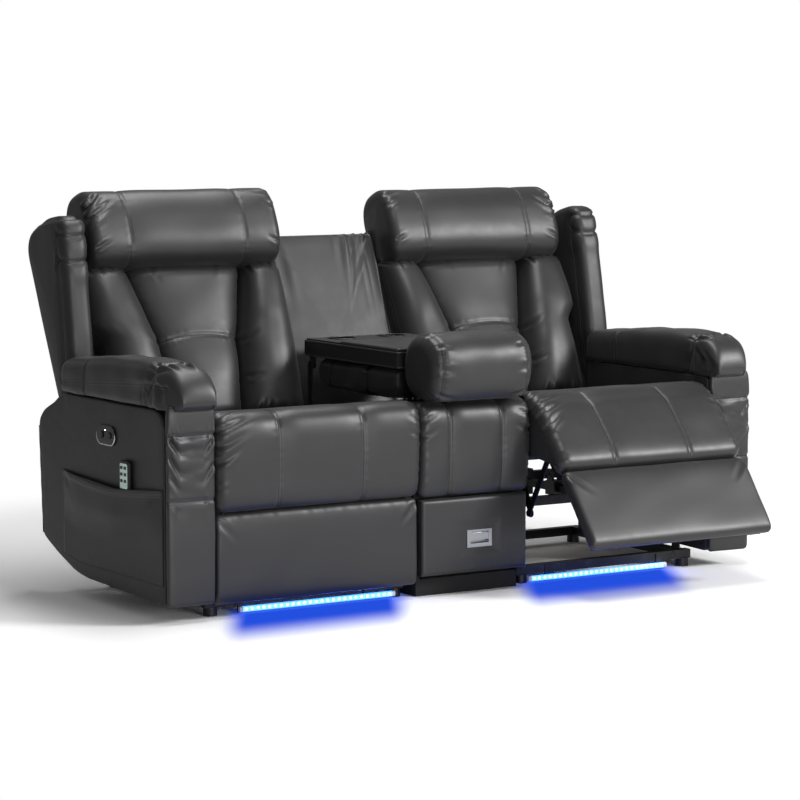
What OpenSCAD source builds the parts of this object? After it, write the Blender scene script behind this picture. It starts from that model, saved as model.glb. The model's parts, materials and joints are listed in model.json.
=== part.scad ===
// Two-seat power reclining sofa with a narrow middle place whose back folds down into a console.
// Millimetres. X runs to the viewer's right, Y to the rear, Z up. The origin is on the floor, on the
// underside of the middle plinth. It is drawn as it stands: the left footrest is shut, the right one
// is half open, and the middle back is folded down.

/* [Overall] */
// Width over both arms
overall_w = 1860; // [1800:5:1920]
// Width of one arm
arm_w = 137; // [130:1:150]
// Width of the middle place
middle_w = 350; // [344:1:370]
// Depth of the arms before the origin
front_d = 388; // [384:1:394]
// Height of the arm boxes under their pads
arm_box_h = 543; // [536:1:550]
// Height of the seats at their front edge
seat_h = 522; // [519:1:526]

/* [Arms] */
// Depth of the arm boxes behind the origin
arm_box_rear = 190; // [170:1:191]
// Thickness of the outer arm panels
arm_panel_t = 22; // [16:1:26]
// Thickness of the inner arm boards
arm_board_t = 18; // [12:1:24]
// Height of the arm boxes over the floor
arm_clear = 46; // [40:1:56]
// Thickness of the arm pads
arm_pad_t = 112; // [95:1:120]
// Overhang of the arm pads on either side
arm_pad_over = 5; // [2:1:7]
// Thickness of the gathered cover on the arm fronts
arm_front_t = 18; // [14:1:22]
// Height of the side pockets' mouths
pocket_h = 345; // [335:1:360]
// Gape of the side pockets at their mouths
pocket_gape = 20; // [18:1:24]
// Thickness of the pocket leather
pocket_t = 2.4; // [1.6:0.1:3]

/* [Controls] */
// Length of the oval switch plates
switch_l = 104; // [96:1:120]
// Height of the oval switch plates
switch_h = 50; // [44:1:56]
// Diameter of the switch buttons
button_d = 18; // [14:1:22]
// Stroke of the switch buttons
button_stroke = 1.5; // [1:0.1:2]
// Size of the remote handset from its face to its back
remote_t = 13; // [10:1:13]

/* [Seats] */
// Clearance of the seats and backs from the arms
side_gap = 5; // [4:0.5:8]
// Distance of the seats' long seams from their centres
seat_seam = 127; // [110:1:140]
// Backward slope of the seats in degrees
seat_slope = 2.3; // [1.5:0.1:2.5]
// Share of a seat's upper half that is lost at its rear edge
seat_fall = 0.9; // [0.8:0.05:0.95]
// Distance from the seats' front edges down to the undersides of their decks
deck_drop = 122; // [118:1:126]
// Thickness of the seat decks
deck_t = 18; // [12:1:20]

/* [Backs] */
// Backward lean of the backs in degrees
back_lean = 22; // [21:0.5:23]
// Height of the backs' pivots
back_pivot_z = 330; // [326:1:334]
// Distance of the backs' pivots behind the origin
back_pivot_y = 150; // [147:1:154]
// Length of the backs from their pivots to the tops of the headrests
back_l = 778; // [760:1:790]
// Height of the headrest rolls
headrest_h = 226; // [210:1:230]
// Thickness of the headrest rolls
headrest_t = 124; // [110:1:130]
// Distance of the headrests' seams from their centres
headrest_seam = 178; // [150:1:190]
// Thickness of the back boards
back_board_t = 38; // [30:1:42]
// Thickness of the side wings
wing_t = 80; // [60:1:84]
// Clearance of the wings from the arms' outer panels
wing_gap = 8; // [6:1:14]
// Recline of the right back as it stands, in degrees
right_recline = 3.5; // [0:0.5:6]

/* [Footrests] */
// Height of the shut footrests over the floor
footrest_clear = 38; // [36:1:46]
// Length of the upper flap under its hinge
flap_l = 230; // [226:1:232]
// Thickness of the flap pads
flap_pad_t = 61; // [54:1:62]
// Thickness of the footrest pads
footrest_pad_t = 30; // [24:1:32]
// Thickness of the footrest boards
footrest_board_t = 12; // [9:1:14]
// Share of the flap's turn that the footrest board makes
footrest_share = 0.867; // [0.86:0.001:0.9]
// Opening of the right footrest as it stands, in degrees
right_open = 43; // [30:1:50]

/* [Mechanism] */
// Thickness of the steel plates and links
plate_t = 4; // [3:0.5:5]
// Side of the square base tubes
tube_w = 25; // [20:1:28]
// Height of the feet
foot_h = 22; // [20:1:26]
// Radius of the feet
foot_r = 18; // [14:1:20]
// Radius of the link pins
pin_r = 5; // [4:0.5:6]
// Radius of the back pins
back_pin_r = 8; // [6:0.5:10]
// Radial running clearance of every pin
pin_gap = 0.05; // [0.03:0.01:0.08]
// Radial clearance of the linkage's open pivot
open_gap = 0.3; // [0.2:0.05:0.5]
// Width of the links
link_w = 24; // [20:1:26]
// Radius of the torque tube
torque_r = 12; // [10:1:14]
// Stroke of the drive nut as a footrest opens fully
nut_stroke = 150; // [130:1:160]
// Full opening of a footrest in degrees
open_full = 88; // [80:1:90]

/* [Lights] */
// Length of the light strips
led_l = 473; // [440:1:500]
// Height of the light strips
led_h = 15; // [12:1:16]
// Depth of the light strips
led_d = 12; // [8:1:14]

/* [Middle] */
// Height of the plinth under the middle place
plinth_h = 45; // [40:1:50]
// Thickness of the middle carcass boards
carcass_t = 18; // [12:1:20]
// Height of the middle place's front pad over the floor
front_pad_z = 270; // [268:1:280]
// Distance of the middle seat's seams from its centre
middle_seam = 83; // [70:1:95]
// Top of the middle rear panel, measured up its slope from the pivots' height
rear_panel_l = 655; // [600:1:660]

/* [Console] */
// Height of the folded console's table
table_z = 655; // [652:1:660]
// Thickness of the console frame
console_t = 50; // [40:1:52]
// Rear end of the folded console behind the origin
console_rear = 205; // [195:1:206]
// Front end of the folded console before the origin
console_front = 280; // [272:1:288]
// Radius of the pillow
pillow_r = 95; // [90:1:96]
// Half the length of the pillow
pillow_half = 165; // [158:1:172]
// Height of the pillow's centre line
pillow_z = 612; // [610:1:620]
// Height of the console's hinge pins
console_hinge_z = 580; // [576:1:584]
// Distance of the console's hinge pins behind the origin
console_hinge_y = 179; // [176:1:181]

/* [Drawer] */
// Thickness of the drawer's walls
drawer_t = 9; // [6:1:12]
// Depth of the drawer
drawer_d = 360; // [300:5:370]
// Top edge of the drawer box
drawer_top = 235; // [200:1:245]
// Thickness of the drawer front
drawer_front_t = 30; // [26:1:34]
// Thickness of the runners
runner_t = 2.4; // [1.6:0.2:3]
// Length of the chrome pull's plate
pull_l = 79; // [70:1:90]
// Height of the chrome pull's plate
pull_h = 47; // [42:1:54]

/* [Hidden] */
$fn = 48;
seat_gap = 0.3;
leather = [0.17, 0.17, 0.18];
leather_dark = [0.12, 0.12, 0.13];
steel = [0.06, 0.06, 0.07];
wood = [0.62, 0.48, 0.32];
chrome = [0.75, 0.76, 0.78];
plastic = [0.04, 0.04, 0.05];

half_w = overall_w / 2;
seat_in = half_w - arm_w;
middle_half = middle_w / 2;
seat_cx = (seat_in + middle_half) / 2;
seat_half = (seat_in - middle_half) / 2;
pad_half = seat_half - side_gap;
arm_mid = half_w - arm_w / 2;

// Lean of an arm pad's nose towards the seat, and its droop
nose_lean = 12;
nose_drop = 24;

// Steel layers beside the deck, outwards from the seat's centre
plate_x = seat_half - 43;
layer_gap = 4;
waist = 0.5;
link_x = plate_x + plate_t + layer_gap;
coupler_x = link_x + plate_t + 2;
slot_x = plate_x - layer_gap;
slot_w = coupler_x + plate_t + layer_gap - slot_x;

// Footrest hinge line, and the links' pivots measured from it on a shut footrest
hinge_y = -front_d - 4;
hinge_z = seat_h - 18;
deck_z = seat_h - deck_drop;
eye_r = 9;
flap_front = 18;
flap_back = flap_pad_t - flap_front;
flap_frame_t = 8;
flap_clear = 4;
link_pin_y = flap_back + 14;
link_pin_z = -150;
base_pin_y = 90;
base_pin_z = -158;
base_pin = [hinge_y + base_pin_y, hinge_z + base_pin_z];
board_pin_y = 14;
board_pin_z = -flap_l - 3;
board_pin_r = 3;
board_eye_r = 7;
back_eye_r = 22;
lug_t = 5;
board_gap = 4;
footrest_front = 4;
footrest_back = footrest_pad_t - footrest_front;
footrest_l = hinge_z + board_pin_z - board_gap - footrest_clear;

// Back, measured up its slope (z) and towards the rear (y) from the pivots
board_front = 15;
board_low = 40;
headrest_low = back_l - headrest_h;
cushion_low = 120;
cushion_high = headrest_low - 2;
// Steps up an upright back cushion, and the one with its cross seam
cushion_steps = [0, 0.02, 0.08, 0.2, 0.36, 0.5, 0.53, 0.64, 0.8, 0.92, 0.98, 1];
seam_step = 5;
wing_out = seat_half + arm_w - arm_panel_t - wing_gap;
wing_in = wing_out - wing_t;
shoulder_low = 115;
wing_swell = 36;
// Shift of a headrest towards its wing, clear of the middle pillow
headrest_out = 7.5;
board_high = back_l - 98;

// Middle place
carcass_front = front_d - 18;
plinth_half = middle_half - 13;
plinth_back = 10;
carcass_rear = 195;
carcass_top = deck_z + 30;
rear_board_h = 262;
panel_low = -62;
post_x = middle_half - 11;
post_t = 5;
console_half = middle_half - 4;
drawer_bottom = plinth_h + 15;
drawer_half = middle_half - carcass_t - 8;
drawer_front_y = -carcass_front - 2;
drawer_gap = 7;
pull_x = 13;
pull_z = 150;
pull_t = 2.5;
pocket_floor = 120;
pocket_rear = 184;
pocket_front = -front_d + 6;
switch_y = -75;
switch_z = arm_box_h - 89;
switch_t = 5;
button_pitch = 44;
button_gap = 0.08;
remote_w = 50;
remote_y = -193;
remote_z = 275;
remote_l = 125;
led_x = -31.5;
led_z = 4;
rail_z = foot_h;
front_tube_y = -330;
rear_tube_y = 200;
base_half = seat_half - 9;
lead_r = 1.4;
// Rail between the arms, with its depth span and height span, and the power inlet on it
rear_rail_y = arm_box_rear + 115;
rear_rail_t = 20;
rear_rail_z = [280, 340];
inlet_x = 300;
inlet_size = [34, 26];
inlet_t = 9;
inlet_bore = 12;
// Cup holders and lid of the folded console
cup_x = 82;
cup_y = 150;
cup_d = 76;
cup_depth = 38;
lid_rear = 20;
// Distance of the pillow's end seams from its middle, and the cushion's cleft along its length
pillow_seam = 115;
cleft = -0.25;
runner_h = 43;
// Route of the short light lead, from the strip's end up to the base tube
lead_route = [[0, 0, 0], [8, 0, 0], [16, -2, 1], [24, -5, 6], [30, -6, 14], [33, -4, 23], [33, 2, 30],
    [33, 9, 33]];

// Signed power, which squares off a round outline
function spow(v, e) = sign(v) * pow(abs(v), e);
// How far a station lies in a pinched seam, from 0 to 1
function pinch(x, seam, w) = max(0, 1 - abs(abs(x) - seam) / w);
// Factor that draws a pad in towards its ends
function draw_in(f, k) = 1 - k * pow(abs(f), 8);
// Stations along a pad: close together at both ends and across its two seams
function stations(half, seam, w) = concat(
    [for (f = [-1, -0.975, -0.92, -0.8]) f * half],
    [-seam - w, -seam, -seam + w, 0, seam - w, seam, seam + w],
    [for (f = [0.8, 0.92, 0.975, 1]) f * half]);
// One outline of a pad in Y and Z, crowned on top, lower at its rear, drawn in at the ends and seams
function pad_ring(x, half, round, draw, crown, seam, depth, sides, fall) =
    let (f = x / half.x)
    let (dip = depth * pinch(x, seam, 9))
    let (ry = (half.y - dip) * draw_in(f, draw.x))
    let (low = (half.z - dip) * draw_in(f, draw.y))
    let (high = low + crown * (1 - f * f))
    [for (i = [0 : sides - 1])
        let (t = 360 * (i + 0.5) / sides)
        let (c = spow(cos(t), round))
        [x, ry * c, (sin(t) > 0 ? high * (1 - fall * (1 + c) / 2) : low) * spow(sin(t), round)]];

// Closed skin over a row of outlines with as many points each
module loft(rings) {
    sides = len(rings[0]);
    last = (len(rings) - 1) * sides;
    walls = [for (k = [0 : len(rings) - 2], i = [0 : sides - 1])
        let (a = k * sides + i)
        let (b = k * sides + (i + 1) % sides)
        each [[a, a + sides, b + sides], [a, b + sides, b]]];
    low_cap = [for (i = [1 : sides - 2]) [0, i, i + 1]];
    high_cap = [for (i = [1 : sides - 2]) [last, last + i + 1, last + i]];
    polyhedron(points = [for (ring = rings) each ring], faces = concat(walls, low_cap, high_cap),
        convexity = 6);
}

// Padded block along X with its half sizes, two seams and a crown
module pad(half, round, draw, crown, seam, depth, sides, fall = 0) {
    loft([for (x = stations(half.x, seam, 9))
        pad_ring(x, half, round, draw, crown, seam, depth, sides, fall)]);
}

// Box between two corners
module span(low, high) {
    translate(low)
        cube(high - low);
}

// Straight shank between two points of the YZ plane, a little thinner than its eyes from x to x + t
module shank(a, b, w, x, t) {
    translate([x + waist, a.x, a.y])
        rotate([atan2(b.y - a.y, b.x - a.x), 0, 0])
            translate([0, 0, -w / 2])
                cube([t - 2 * waist, norm(b - a), w]);
}

// Bar with round eyes at two points of the YZ plane, from x to x + t
module bar(a, b, w, x, t) {
    shank(a, b, w - 2 * waist, x, t);
    rod(a, w / 2, x, t);
    rod(b, w / 2, x, t);
}

// Arm with a YZ outline, a little thinner than its eyes from x to x + t
module arm_plate(outline, x, t) {
    translate([x + waist, 0, 0])
        rotate([90, 0, 90])
            linear_extrude(t - 2 * waist)
                polygon(outline);
}

// Round rod along X at a point of the YZ plane, from x to x + l
module rod(at, r, x, l) {
    translate([x, at.x, at.y])
        rotate([0, 90, 0])
            cylinder(r = r, h = l);
}

// The same thing on both sides of a seat
module both_sides() {
    children();
    mirror([1, 0, 0])
        children();
}

// Places of what belongs to a seat or an arm: the part is drawn for the right, outer side at +X
module at_side(left) {
    mirror([left ? 1 : 0, 0, 0])
        children();
}
module at_seat(left) {
    at_side(left)
        translate([seat_cx, 0, 0])
            children();
}
module at_back(left) {
    at_seat(left)
        translate([0, back_pivot_y, back_pivot_z])
            rotate([-back_lean - (left ? 0 : right_recline), 0, 0])
                children();
}
module at_flap(left) {
    at_seat(left)
        translate([0, hinge_y, hinge_z])
            rotate([left ? 0 : -right_open, 0, 0])
                children();
}
module at_footrest(left) {
    at_flap(left)
        translate([0, board_pin_y, board_pin_z])
            rotate([left ? 0 : right_open * (1 - footrest_share), 0, 0])
                translate([0, -board_pin_y, -board_pin_z])
                    children();
}
module at_lift(left) {
    at_seat(left)
        translate([0, base_pin.x, base_pin.y])
            rotate([left ? 0 : -right_open, 0, 0])
                children();
}

// Side of an arm in the YZ plane, with its swept rear corner and rounded shoulders
module arm_outline() {
    rear = arm_box_rear + 149;
    polygon([[-front_d, arm_clear], [60, arm_clear + 12], [130, arm_clear + 23], [237, arm_clear + 60],
        [rear - 20, arm_clear + 96], [rear - 12, arm_box_h - 311], [rear, arm_box_h - 102],
        [rear - 5, arm_box_h - 81], [rear - 42, arm_box_h - 57], [rear - 110, arm_box_h - 30], [arm_box_rear, arm_box_h], [-front_d + 45, arm_box_h],
        [-front_d + 16, arm_box_h - 12], [-front_d, arm_box_h - 36]]);
}

module arm(left) {
    inner = seat_in;
    outer = half_w - arm_panel_t;
    color(leather_dark)
        at_side(left)
            difference() {
                union() {
                    translate([outer, 0, 0])
                        rotate([90, 0, 90])
                            linear_extrude(arm_panel_t)
                                arm_outline();
                    span([inner, -front_d, arm_clear], [inner + arm_board_t, arm_box_rear, arm_box_h]);
                    span([inner, -front_d, arm_box_h - arm_board_t], [outer + 1, arm_box_rear, arm_box_h]);
                    for (y = [-front_d, arm_box_rear - arm_board_t])
                        span([inner, y, arm_clear], [outer + 1, y + arm_board_t, arm_box_h]);
                }
                span([outer - 1, switch_y - switch_l / 2 + 4, switch_z - switch_h / 2 + 8],
                    [half_w + 1, switch_y + switch_l / 2 - 4, switch_z + switch_h / 2 - 8]);
            }
}

// Gathered cover on the front of an arm: fuller between its two cross seams
module arm_front(left) {
    low = arm_clear;
    high = arm_box_h + 12;
    seams = [arm_box_h - 63, arm_box_h - 243];
    heights = [low, low + 8, low + 60, seams[1] - 40, seams[1] - 12, seams[1], seams[1] + 12, seams[1] + 90,
        seams[0] - 12, seams[0], seams[0] + 12, high - 20, high - 5, high];
    color(leather)
        at_side(left)
            loft([for (z = heights)
                let (f = (2 * z - low - high) / (high - low))
                let (fold = 3 * max([for (s = seams) max(0, 1 - abs(z - s) / 12)]))
                let (rx = (arm_w / 2 - 1 - fold) * draw_in(f, 0.05))
                let (ry = (arm_front_t / 2 - fold / 2) * draw_in(f, 0.4))
                [for (i = [0 : 13])
                    let (t = 360 * (i + 0.5) / 14)
                    [arm_mid + rx * spow(cos(t), 0.35),
                        -front_d - seat_gap - arm_front_t / 2 + ry * spow(sin(t), 0.6), z]]]);
}

// Pillow top of an arm: crowned, pinched along its band and rounded down over the nose
module arm_pad(left) {
    low = arm_box_h + 1;
    nose = -front_d - arm_front_t - 22;
    rear = arm_box_rear;
    half = (rear - nose) / 2;
    rx = arm_w / 2 + arm_pad_over;
    steps = [-1, -0.985, -0.94, -0.86, -0.72, -0.5, -0.2, 0.2, 0.55, 0.8, 0.94, 1];
    color(leather)
        at_side(left)
            difference() {
                loft([for (f = steps)
                    let (y = (rear + nose) / 2 + f * half)
                    let (drop = f < 0 ? pow(-f, 5) : 0)
                    let (full = f < 0 ? 1 - 0.6 * pow(-f, 7) : 1 - 0.3 * pow(f, 9))
                    let (rz = arm_pad_t / 2 * full)
                    [for (i = [0 : 15])
                        let (t = 360 * (i + 0.5) / 16)
                        let (side = f > 0.5 ? 1 - 0.06 * f : 1 - 0.28 * drop)
                        [arm_mid - nose_lean * drop + rx * side * spow(sin(t), 0.55), y,
                            low + arm_pad_t / 2 - nose_drop * drop + rz * spow(cos(t), 0.6)]]]);
                // Flat underside on the arm box
                span([0, -front_d - arm_front_t, 0], [overall_w, overall_w, low - 0.7]);
                // Room for the gathered cover under the nose
                span([0, -front_d - arm_front_t - 1, 0], [overall_w, -front_d + 20, arm_box_h + 13]);
            }
}

// Side pocket: a sheet that stands away from the panel at its mouth
module pocket(left) {
    color(leather)
        at_side(left)
            difference() {
                pocket_body(pocket_front, pocket_rear, pocket_t, arm_clear + 50);
                translate([0, 0, 0.001])
                    pocket_body(pocket_front + pocket_t, pocket_rear - pocket_t, 0, pocket_floor);
            }
}
// Wedge between the arm panel and the pocket's sheet, from front to rear
module pocket_body(front, rear, skin, floor_z) {
    x = half_w + seat_gap;
    translate([0, rear, 0])
        rotate([90, 0, 0])
            linear_extrude(rear - front)
                polygon([[x, floor_z], [x, pocket_h], [x + pocket_gape + skin, pocket_h],
                    [x + 2 + skin, pocket_floor], [x + 1 + skin, floor_z]]);
}

// Oval of the switch plate in the YZ plane
module oval(l, h) {
    union() {
        square([l - h, h], center = true);
        for (y = [-1, 1])
            translate([y * (l - h) / 2, 0])
                circle(d = h);
    }
}
module switch_plate(left) {
    color(plastic)
        at_side(left)
            translate([half_w, switch_y, switch_z])
                rotate([90, 0, 90])
                    difference() {
                        union() {
                            linear_extrude(switch_t)
                                oval(switch_l, switch_h);
                            translate([0, 0, -arm_panel_t - 6])
                                linear_extrude(arm_panel_t + 7)
                                    square([switch_l - 10, switch_h - 18], center = true);
                        }
                        for (y = [-1, 1])
                            translate([y * button_pitch / 2, 0, -12])
                                cylinder(d = button_d + 2 * button_gap, h = 30);
                    }
}
module button(left, place) {
    color([0.3, 0.3, 0.32])
        at_side(left)
            translate([half_w - 12 + button_stroke + 0.3, switch_y + place * button_pitch / 2, switch_z])
                rotate([0, 90, 0])
                    cylinder(d = button_d, h = switch_t + 12 + 1.2);
}

// Steel base under one seat: tubes, feet, light tabs, side plates, bosses and pivot pins
module base_frame(left) {
    color(steel)
        at_seat(left) {
            difference() {
                union() {
                    for (y = [front_tube_y, rear_tube_y])
                        span([-base_half, y, rail_z], [base_half, y + tube_w, rail_z + tube_w]);
                    both_sides()
                        base_side();
                    // Cross tubes that carry the drive
                    span([-plate_x - 1, -300, 205], [plate_x + 1, -280, 230]);
                    span([-plate_x - 1, back_pivot_y + 10, 205], [plate_x + 1, back_pivot_y + 35, 230]);
                }
                // Bores in which the torque tube turns
                both_sides()
                    rod(base_pin, torque_r + pin_gap, plate_x - 1, plate_t + 2);
            }
        }
}
module base_side() {
    span([plate_x, front_tube_y + 1, rail_z], [plate_x + tube_w, rear_tube_y + 1, rail_z + tube_w]);
    for (y = [front_tube_y + tube_w / 2, rear_tube_y + tube_w / 2])
        translate([plate_x + tube_w / 2, y, 0])
            cylinder(r = foot_r, h = foot_h + 1);
    // Tab that holds the light strip
    span([plate_x - 90, front_tube_y - 3, led_z - 1], [plate_x - 60, front_tube_y + 1, rail_z + tube_w - 4]);
    span([plate_x, front_tube_y + 10, deck_z - 15], [plate_x + plate_t, back_pivot_y + 5, deck_z + deck_t]);
    for (y = [front_tube_y + 10, -120, 20, back_pivot_y - 15])
        span([plate_x, y, rail_z + tube_w - 1], [plate_x + plate_t, y + 34, deck_z]);
    // Arm up to the footrest's hinge
    rod([hinge_y, hinge_z], eye_r, plate_x, plate_t);
    arm_plate([[hinge_y + 6, hinge_z + 5], [front_tube_y + 43, deck_z - 5], [front_tube_y + 27, deck_z - 10],
        [hinge_y - 6, hinge_z - 5]], plate_x, plate_t);
    rod([back_pivot_y, back_pivot_z], back_eye_r, plate_x, plate_t);
    // Bosses that bolt the seat to its neighbours
    for (y = [-105, 37])
        rod([y, 250], 11, plate_x + 1, seat_half - plate_x - 1);
    rod([hinge_y, hinge_z], pin_r, plate_x + 1, link_x + plate_t - plate_x);
    rod(base_pin, torque_r + 9, plate_x, plate_t);
    rod([back_pivot_y, back_pivot_z], back_pin_r, plate_x + 1, link_x + plate_t - plate_x);
}

module light_strip(left) {
    color([0.2, 0.4, 0.95])
        at_seat(left)
            span([led_x - led_l / 2, front_tube_y - 3 - led_d, led_z],
                [led_x + led_l / 2, front_tube_y - 3, led_z + led_h]);
}

// Board that carries a seat cushion, between the side plates
module seat_deck(left) {
    color(wood)
        at_seat(left)
            span([-plate_x, front_tube_y + 10, deck_z], [plate_x, back_pivot_y - 10, deck_z + deck_t]);
}

// Room in the soft parts for the plates and arms at the footrest hinge
module hinge_room(low, high) {
    both_sides()
        span([slot_x, low.x, low.y], [slot_x + slot_w, high.x, high.y]);
}

module seat_cushion(left) {
    bottom = deck_z + deck_t + seat_gap;
    rear = back_pivot_y;
    front = hinge_y + 5;
    half_d = (rear - front) / 2;
    half_t = (seat_h - bottom) / 2 - 4;
    color(leather)
        at_seat(left)
            difference() {
                translate([0, (rear + front) / 2, bottom + half_t - 2])
                    rotate([-seat_slope, 0, 0])
                        pad([pad_half, half_d, half_t], 0.42, [0.02, 0.22], 7, seat_seam, 3, 18, seat_fall);
                span([-seat_half, -2 * front_d, 0], [seat_half, 2 * front_d, bottom]);
                // Room for the shut footrest pad and its frame under the front roll
                span([-seat_half, -2 * front_d, 0],
                    [seat_half, hinge_y + flap_back + flap_frame_t + 3, hinge_z + 2]);
                hinge_room([-2 * front_d, 0], [front_tube_y + 32, hinge_z + eye_r + 2]);
            }
}

module flap_pad(left) {
    half_l = (flap_l - flap_clear - 6) / 2;
    color(leather)
        at_flap(left)
            difference() {
                translate([0, (flap_back - flap_front) / 2, -flap_clear - half_l])
                    pad([pad_half, flap_pad_t / 2 + 1, half_l], 0.45, [0.1, 0.02], 0, seat_seam, 3, 14);
                // Flat back on the tray
                span([-seat_half, flap_back - seat_gap, -2 * flap_l], [seat_half, 2 * flap_pad_t, 1]);
                hinge_room([-eye_r - 3, -85], [2 * flap_pad_t, 20]);
            }
}

// Steel tray behind the flap pad, with its two hinge arms
module flap_frame(left) {
    color(steel)
        at_flap(left)
            difference() {
                union() {
                    span([-link_x - 1, flap_back, -flap_l + 2], [link_x + 1, flap_back + flap_frame_t, -90]);
                    both_sides() {
                        rod([0, 0], eye_r, link_x, plate_t);
                        rod([board_pin_y, board_pin_z], board_eye_r, link_x, plate_t);
                        // Cranked arm from the hinge, past the links' pin, to the footrest board's pin
                        arm_plate([[4, 7], [link_pin_y + eye_r, -24], [link_pin_y + eye_r, board_pin_z + 16],
                            [board_pin_y + 16, board_pin_z - 5], [board_pin_y + 3, board_pin_z - 5],
                            [board_pin_y - 3, board_pin_z + 3], [board_pin_y + 5, board_pin_z + 4],
                            [link_pin_y - eye_r, board_pin_z + 22], [link_pin_y - eye_r, -32], [-4, -7]],
                            link_x, plate_t);
                        rod([link_pin_y, link_pin_z], pin_r, link_x + 1, coupler_x + plate_t - link_x);
                        rod([board_pin_y, board_pin_z], board_pin_r, link_x - 8, plate_t + 7);
                    }
                }
                both_sides()
                    rod([0, 0], pin_r + pin_gap, link_x - 1, plate_t + 2);
            }
}

module footrest_pad(left) {
    color(leather)
        at_footrest(left)
            difference() {
                translate([0, (footrest_back - footrest_front) / 2,
                        board_pin_z - board_gap - footrest_l / 2])
                    pad([pad_half, footrest_pad_t / 2, footrest_l / 2], 0.4, [0.15, 0.02], 0, seat_seam, 0, 12);
                both_sides()
                    span([link_x - 12, -9, board_pin_z - 14], [link_x + plate_t + 4, 60, 0]);
            }
}

// Board behind the footrest pad, with the eyes that hang it on the flap frame
module footrest_board(left) {
    back = footrest_back + seat_gap;
    color(wood)
        at_footrest(left)
            difference() {
                union() {
                    span([-pad_half + 18, back, board_pin_z - footrest_l + 6],
                        [pad_half - 18, back + footrest_board_t, board_pin_z - 12]);
                    both_sides() {
                        rod([board_pin_y, board_pin_z], board_eye_r, link_x - 7, lug_t);
                        span([link_x - 7, board_pin_y, board_pin_z - board_eye_r + 1],
                            [link_x - 7 + lug_t, back + footrest_board_t - 1, board_pin_z + board_eye_r - 1]);
                        span([link_x - 7, back + 1, board_pin_z - 22],
                            [link_x - 7 + lug_t, back + footrest_board_t - 1, board_pin_z]);
                    }
                }
                both_sides()
                    rod([board_pin_y, board_pin_z], board_pin_r + pin_gap, link_x - 8, lug_t + 2);
            }
}

// Both lift links on their torque tube
module lift_link(left) {
    tip = [link_pin_y, link_pin_z];
    color(steel)
        at_lift(left) {
            both_sides() {
                shank([0, 0], tip, link_w - 3, link_x, plate_t);
                rod([0, 0], torque_r + 5, link_x, plate_t);
                rod(tip, link_w / 2, link_x, plate_t);
                rod(tip, pin_r, link_x + 1, coupler_x + plate_t - link_x);
            }
            rod([0, 0], torque_r, -link_x - 1, 2 * link_x + 2);
        }
}

// Coupler between a lift link and the flap frame: its upper pivot is the open one
module coupler(left) {
    turn = left ? 0 : -right_open;
    color(steel)
        at_lift(left)
            translate([0, link_pin_y, link_pin_z])
                rotate([-turn, 0, 0])
                    difference() {
                        both_sides()
                            bar([0, 0], [-base_pin_y, -base_pin_z], link_w - 4, coupler_x, plate_t);
                        both_sides() {
                            rod([0, 0], pin_r + pin_gap, coupler_x - 1, plate_t + 2);
                            rod([-base_pin_y, -base_pin_z], pin_r + open_gap, coupler_x - 1, plate_t + 2);
                        }
                    }
}

// Motor and its rail, between the two cross tubes
module actuator(left) {
    rear = back_pivot_y + 10;
    color(plastic)
        at_seat(left) {
            span([-33, rear - 90, 178], [33, rear, 252]);
            translate([0, rear - 45, 140])
                cylinder(d = 52, h = 60);
            span([-12, -280, 208], [12, rear - 89, 228]);
        }
}
module drive_nut(left) {
    shut = -40;
    y = shut - (left ? 0 : nut_stroke * right_open / open_full);
    color(steel)
        at_seat(left)
            translate([0, y, 0])
                difference() {
                    union() {
                        span([-22, 0, 198], [22, 44, 238]);
                        for (x = [-22, 16])
                            span([x, 8, 237], [x + 6, 36, 272]);
                    }
                    span([-12 - seat_gap, -1, 208 - seat_gap], [12 + seat_gap, 45, 228 + seat_gap]);
                    rod([22, 260], 5, -30, 60);
                }
}

// Boards and lugs of a back, with its side wing
module back_shell(left) {
    color(leather_dark)
        at_back(left) {
            difference() {
                union() {
                    span([-pad_half, board_front, board_low],
                        [pad_half, board_front + back_board_t, board_high]);
                    span([pad_half - 1, board_front, shoulder_low],
                        [wing_out - 8, board_front + back_board_t, back_l - 128]);
                    both_sides()
                        bar([0, 0], [board_front + 14, board_low + 34], 34, link_x, plate_t + 1);
                }
                both_sides()
                    rod([0, 0], back_pin_r + pin_gap, link_x - 1, plate_t + 4);
            }
            wing();
        }
}
// Padded side wing: one outline in the slope's plane, drawn in at both faces
module wing() {
    top = back_l - 76;
    rear = board_front + back_board_t;
    outline = [[rear, shoulder_low], [rear + wing_swell, top - 76], [rear + wing_swell - 5, top - 46],
        [rear + wing_swell - 20, top - 20], [rear + wing_swell - 46, top - 4], [-8, top], [-54, top - 2], [-133, top - 22], [-157, top - 43], [-120, top - 202],
        [-84, top - 342], [-62, top - 412], [-32, top - 502], [board_front, shoulder_low]];
    core = [-30, top - 282];
    inset = [0.12, 0.03, 0, 0, 0.03, 0.12];
    across = [0, 0.06, 0.25, 0.75, 0.94, 1];
    loft([for (k = [0 : 5])
        [for (p = outline)
            let (q = p + (core - p) * inset[k])
            [wing_in + across[k] * wing_t, q.x, q.y]]]);
}

// Half width of the tapered middle panel at a height up the slope
function panel_half(z) = 95 + max(0, z - cushion_low) * 0.14 + max(0, z - 343) * 0.117;
// Outer edge of the side bolsters: narrow beside the arm pads, wide above them
function bolster_edge(z, outer) = outer ? pad_half - 7 + 34 * min(1, max(0, z - 345) / 50) : pad_half - 1;
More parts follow.
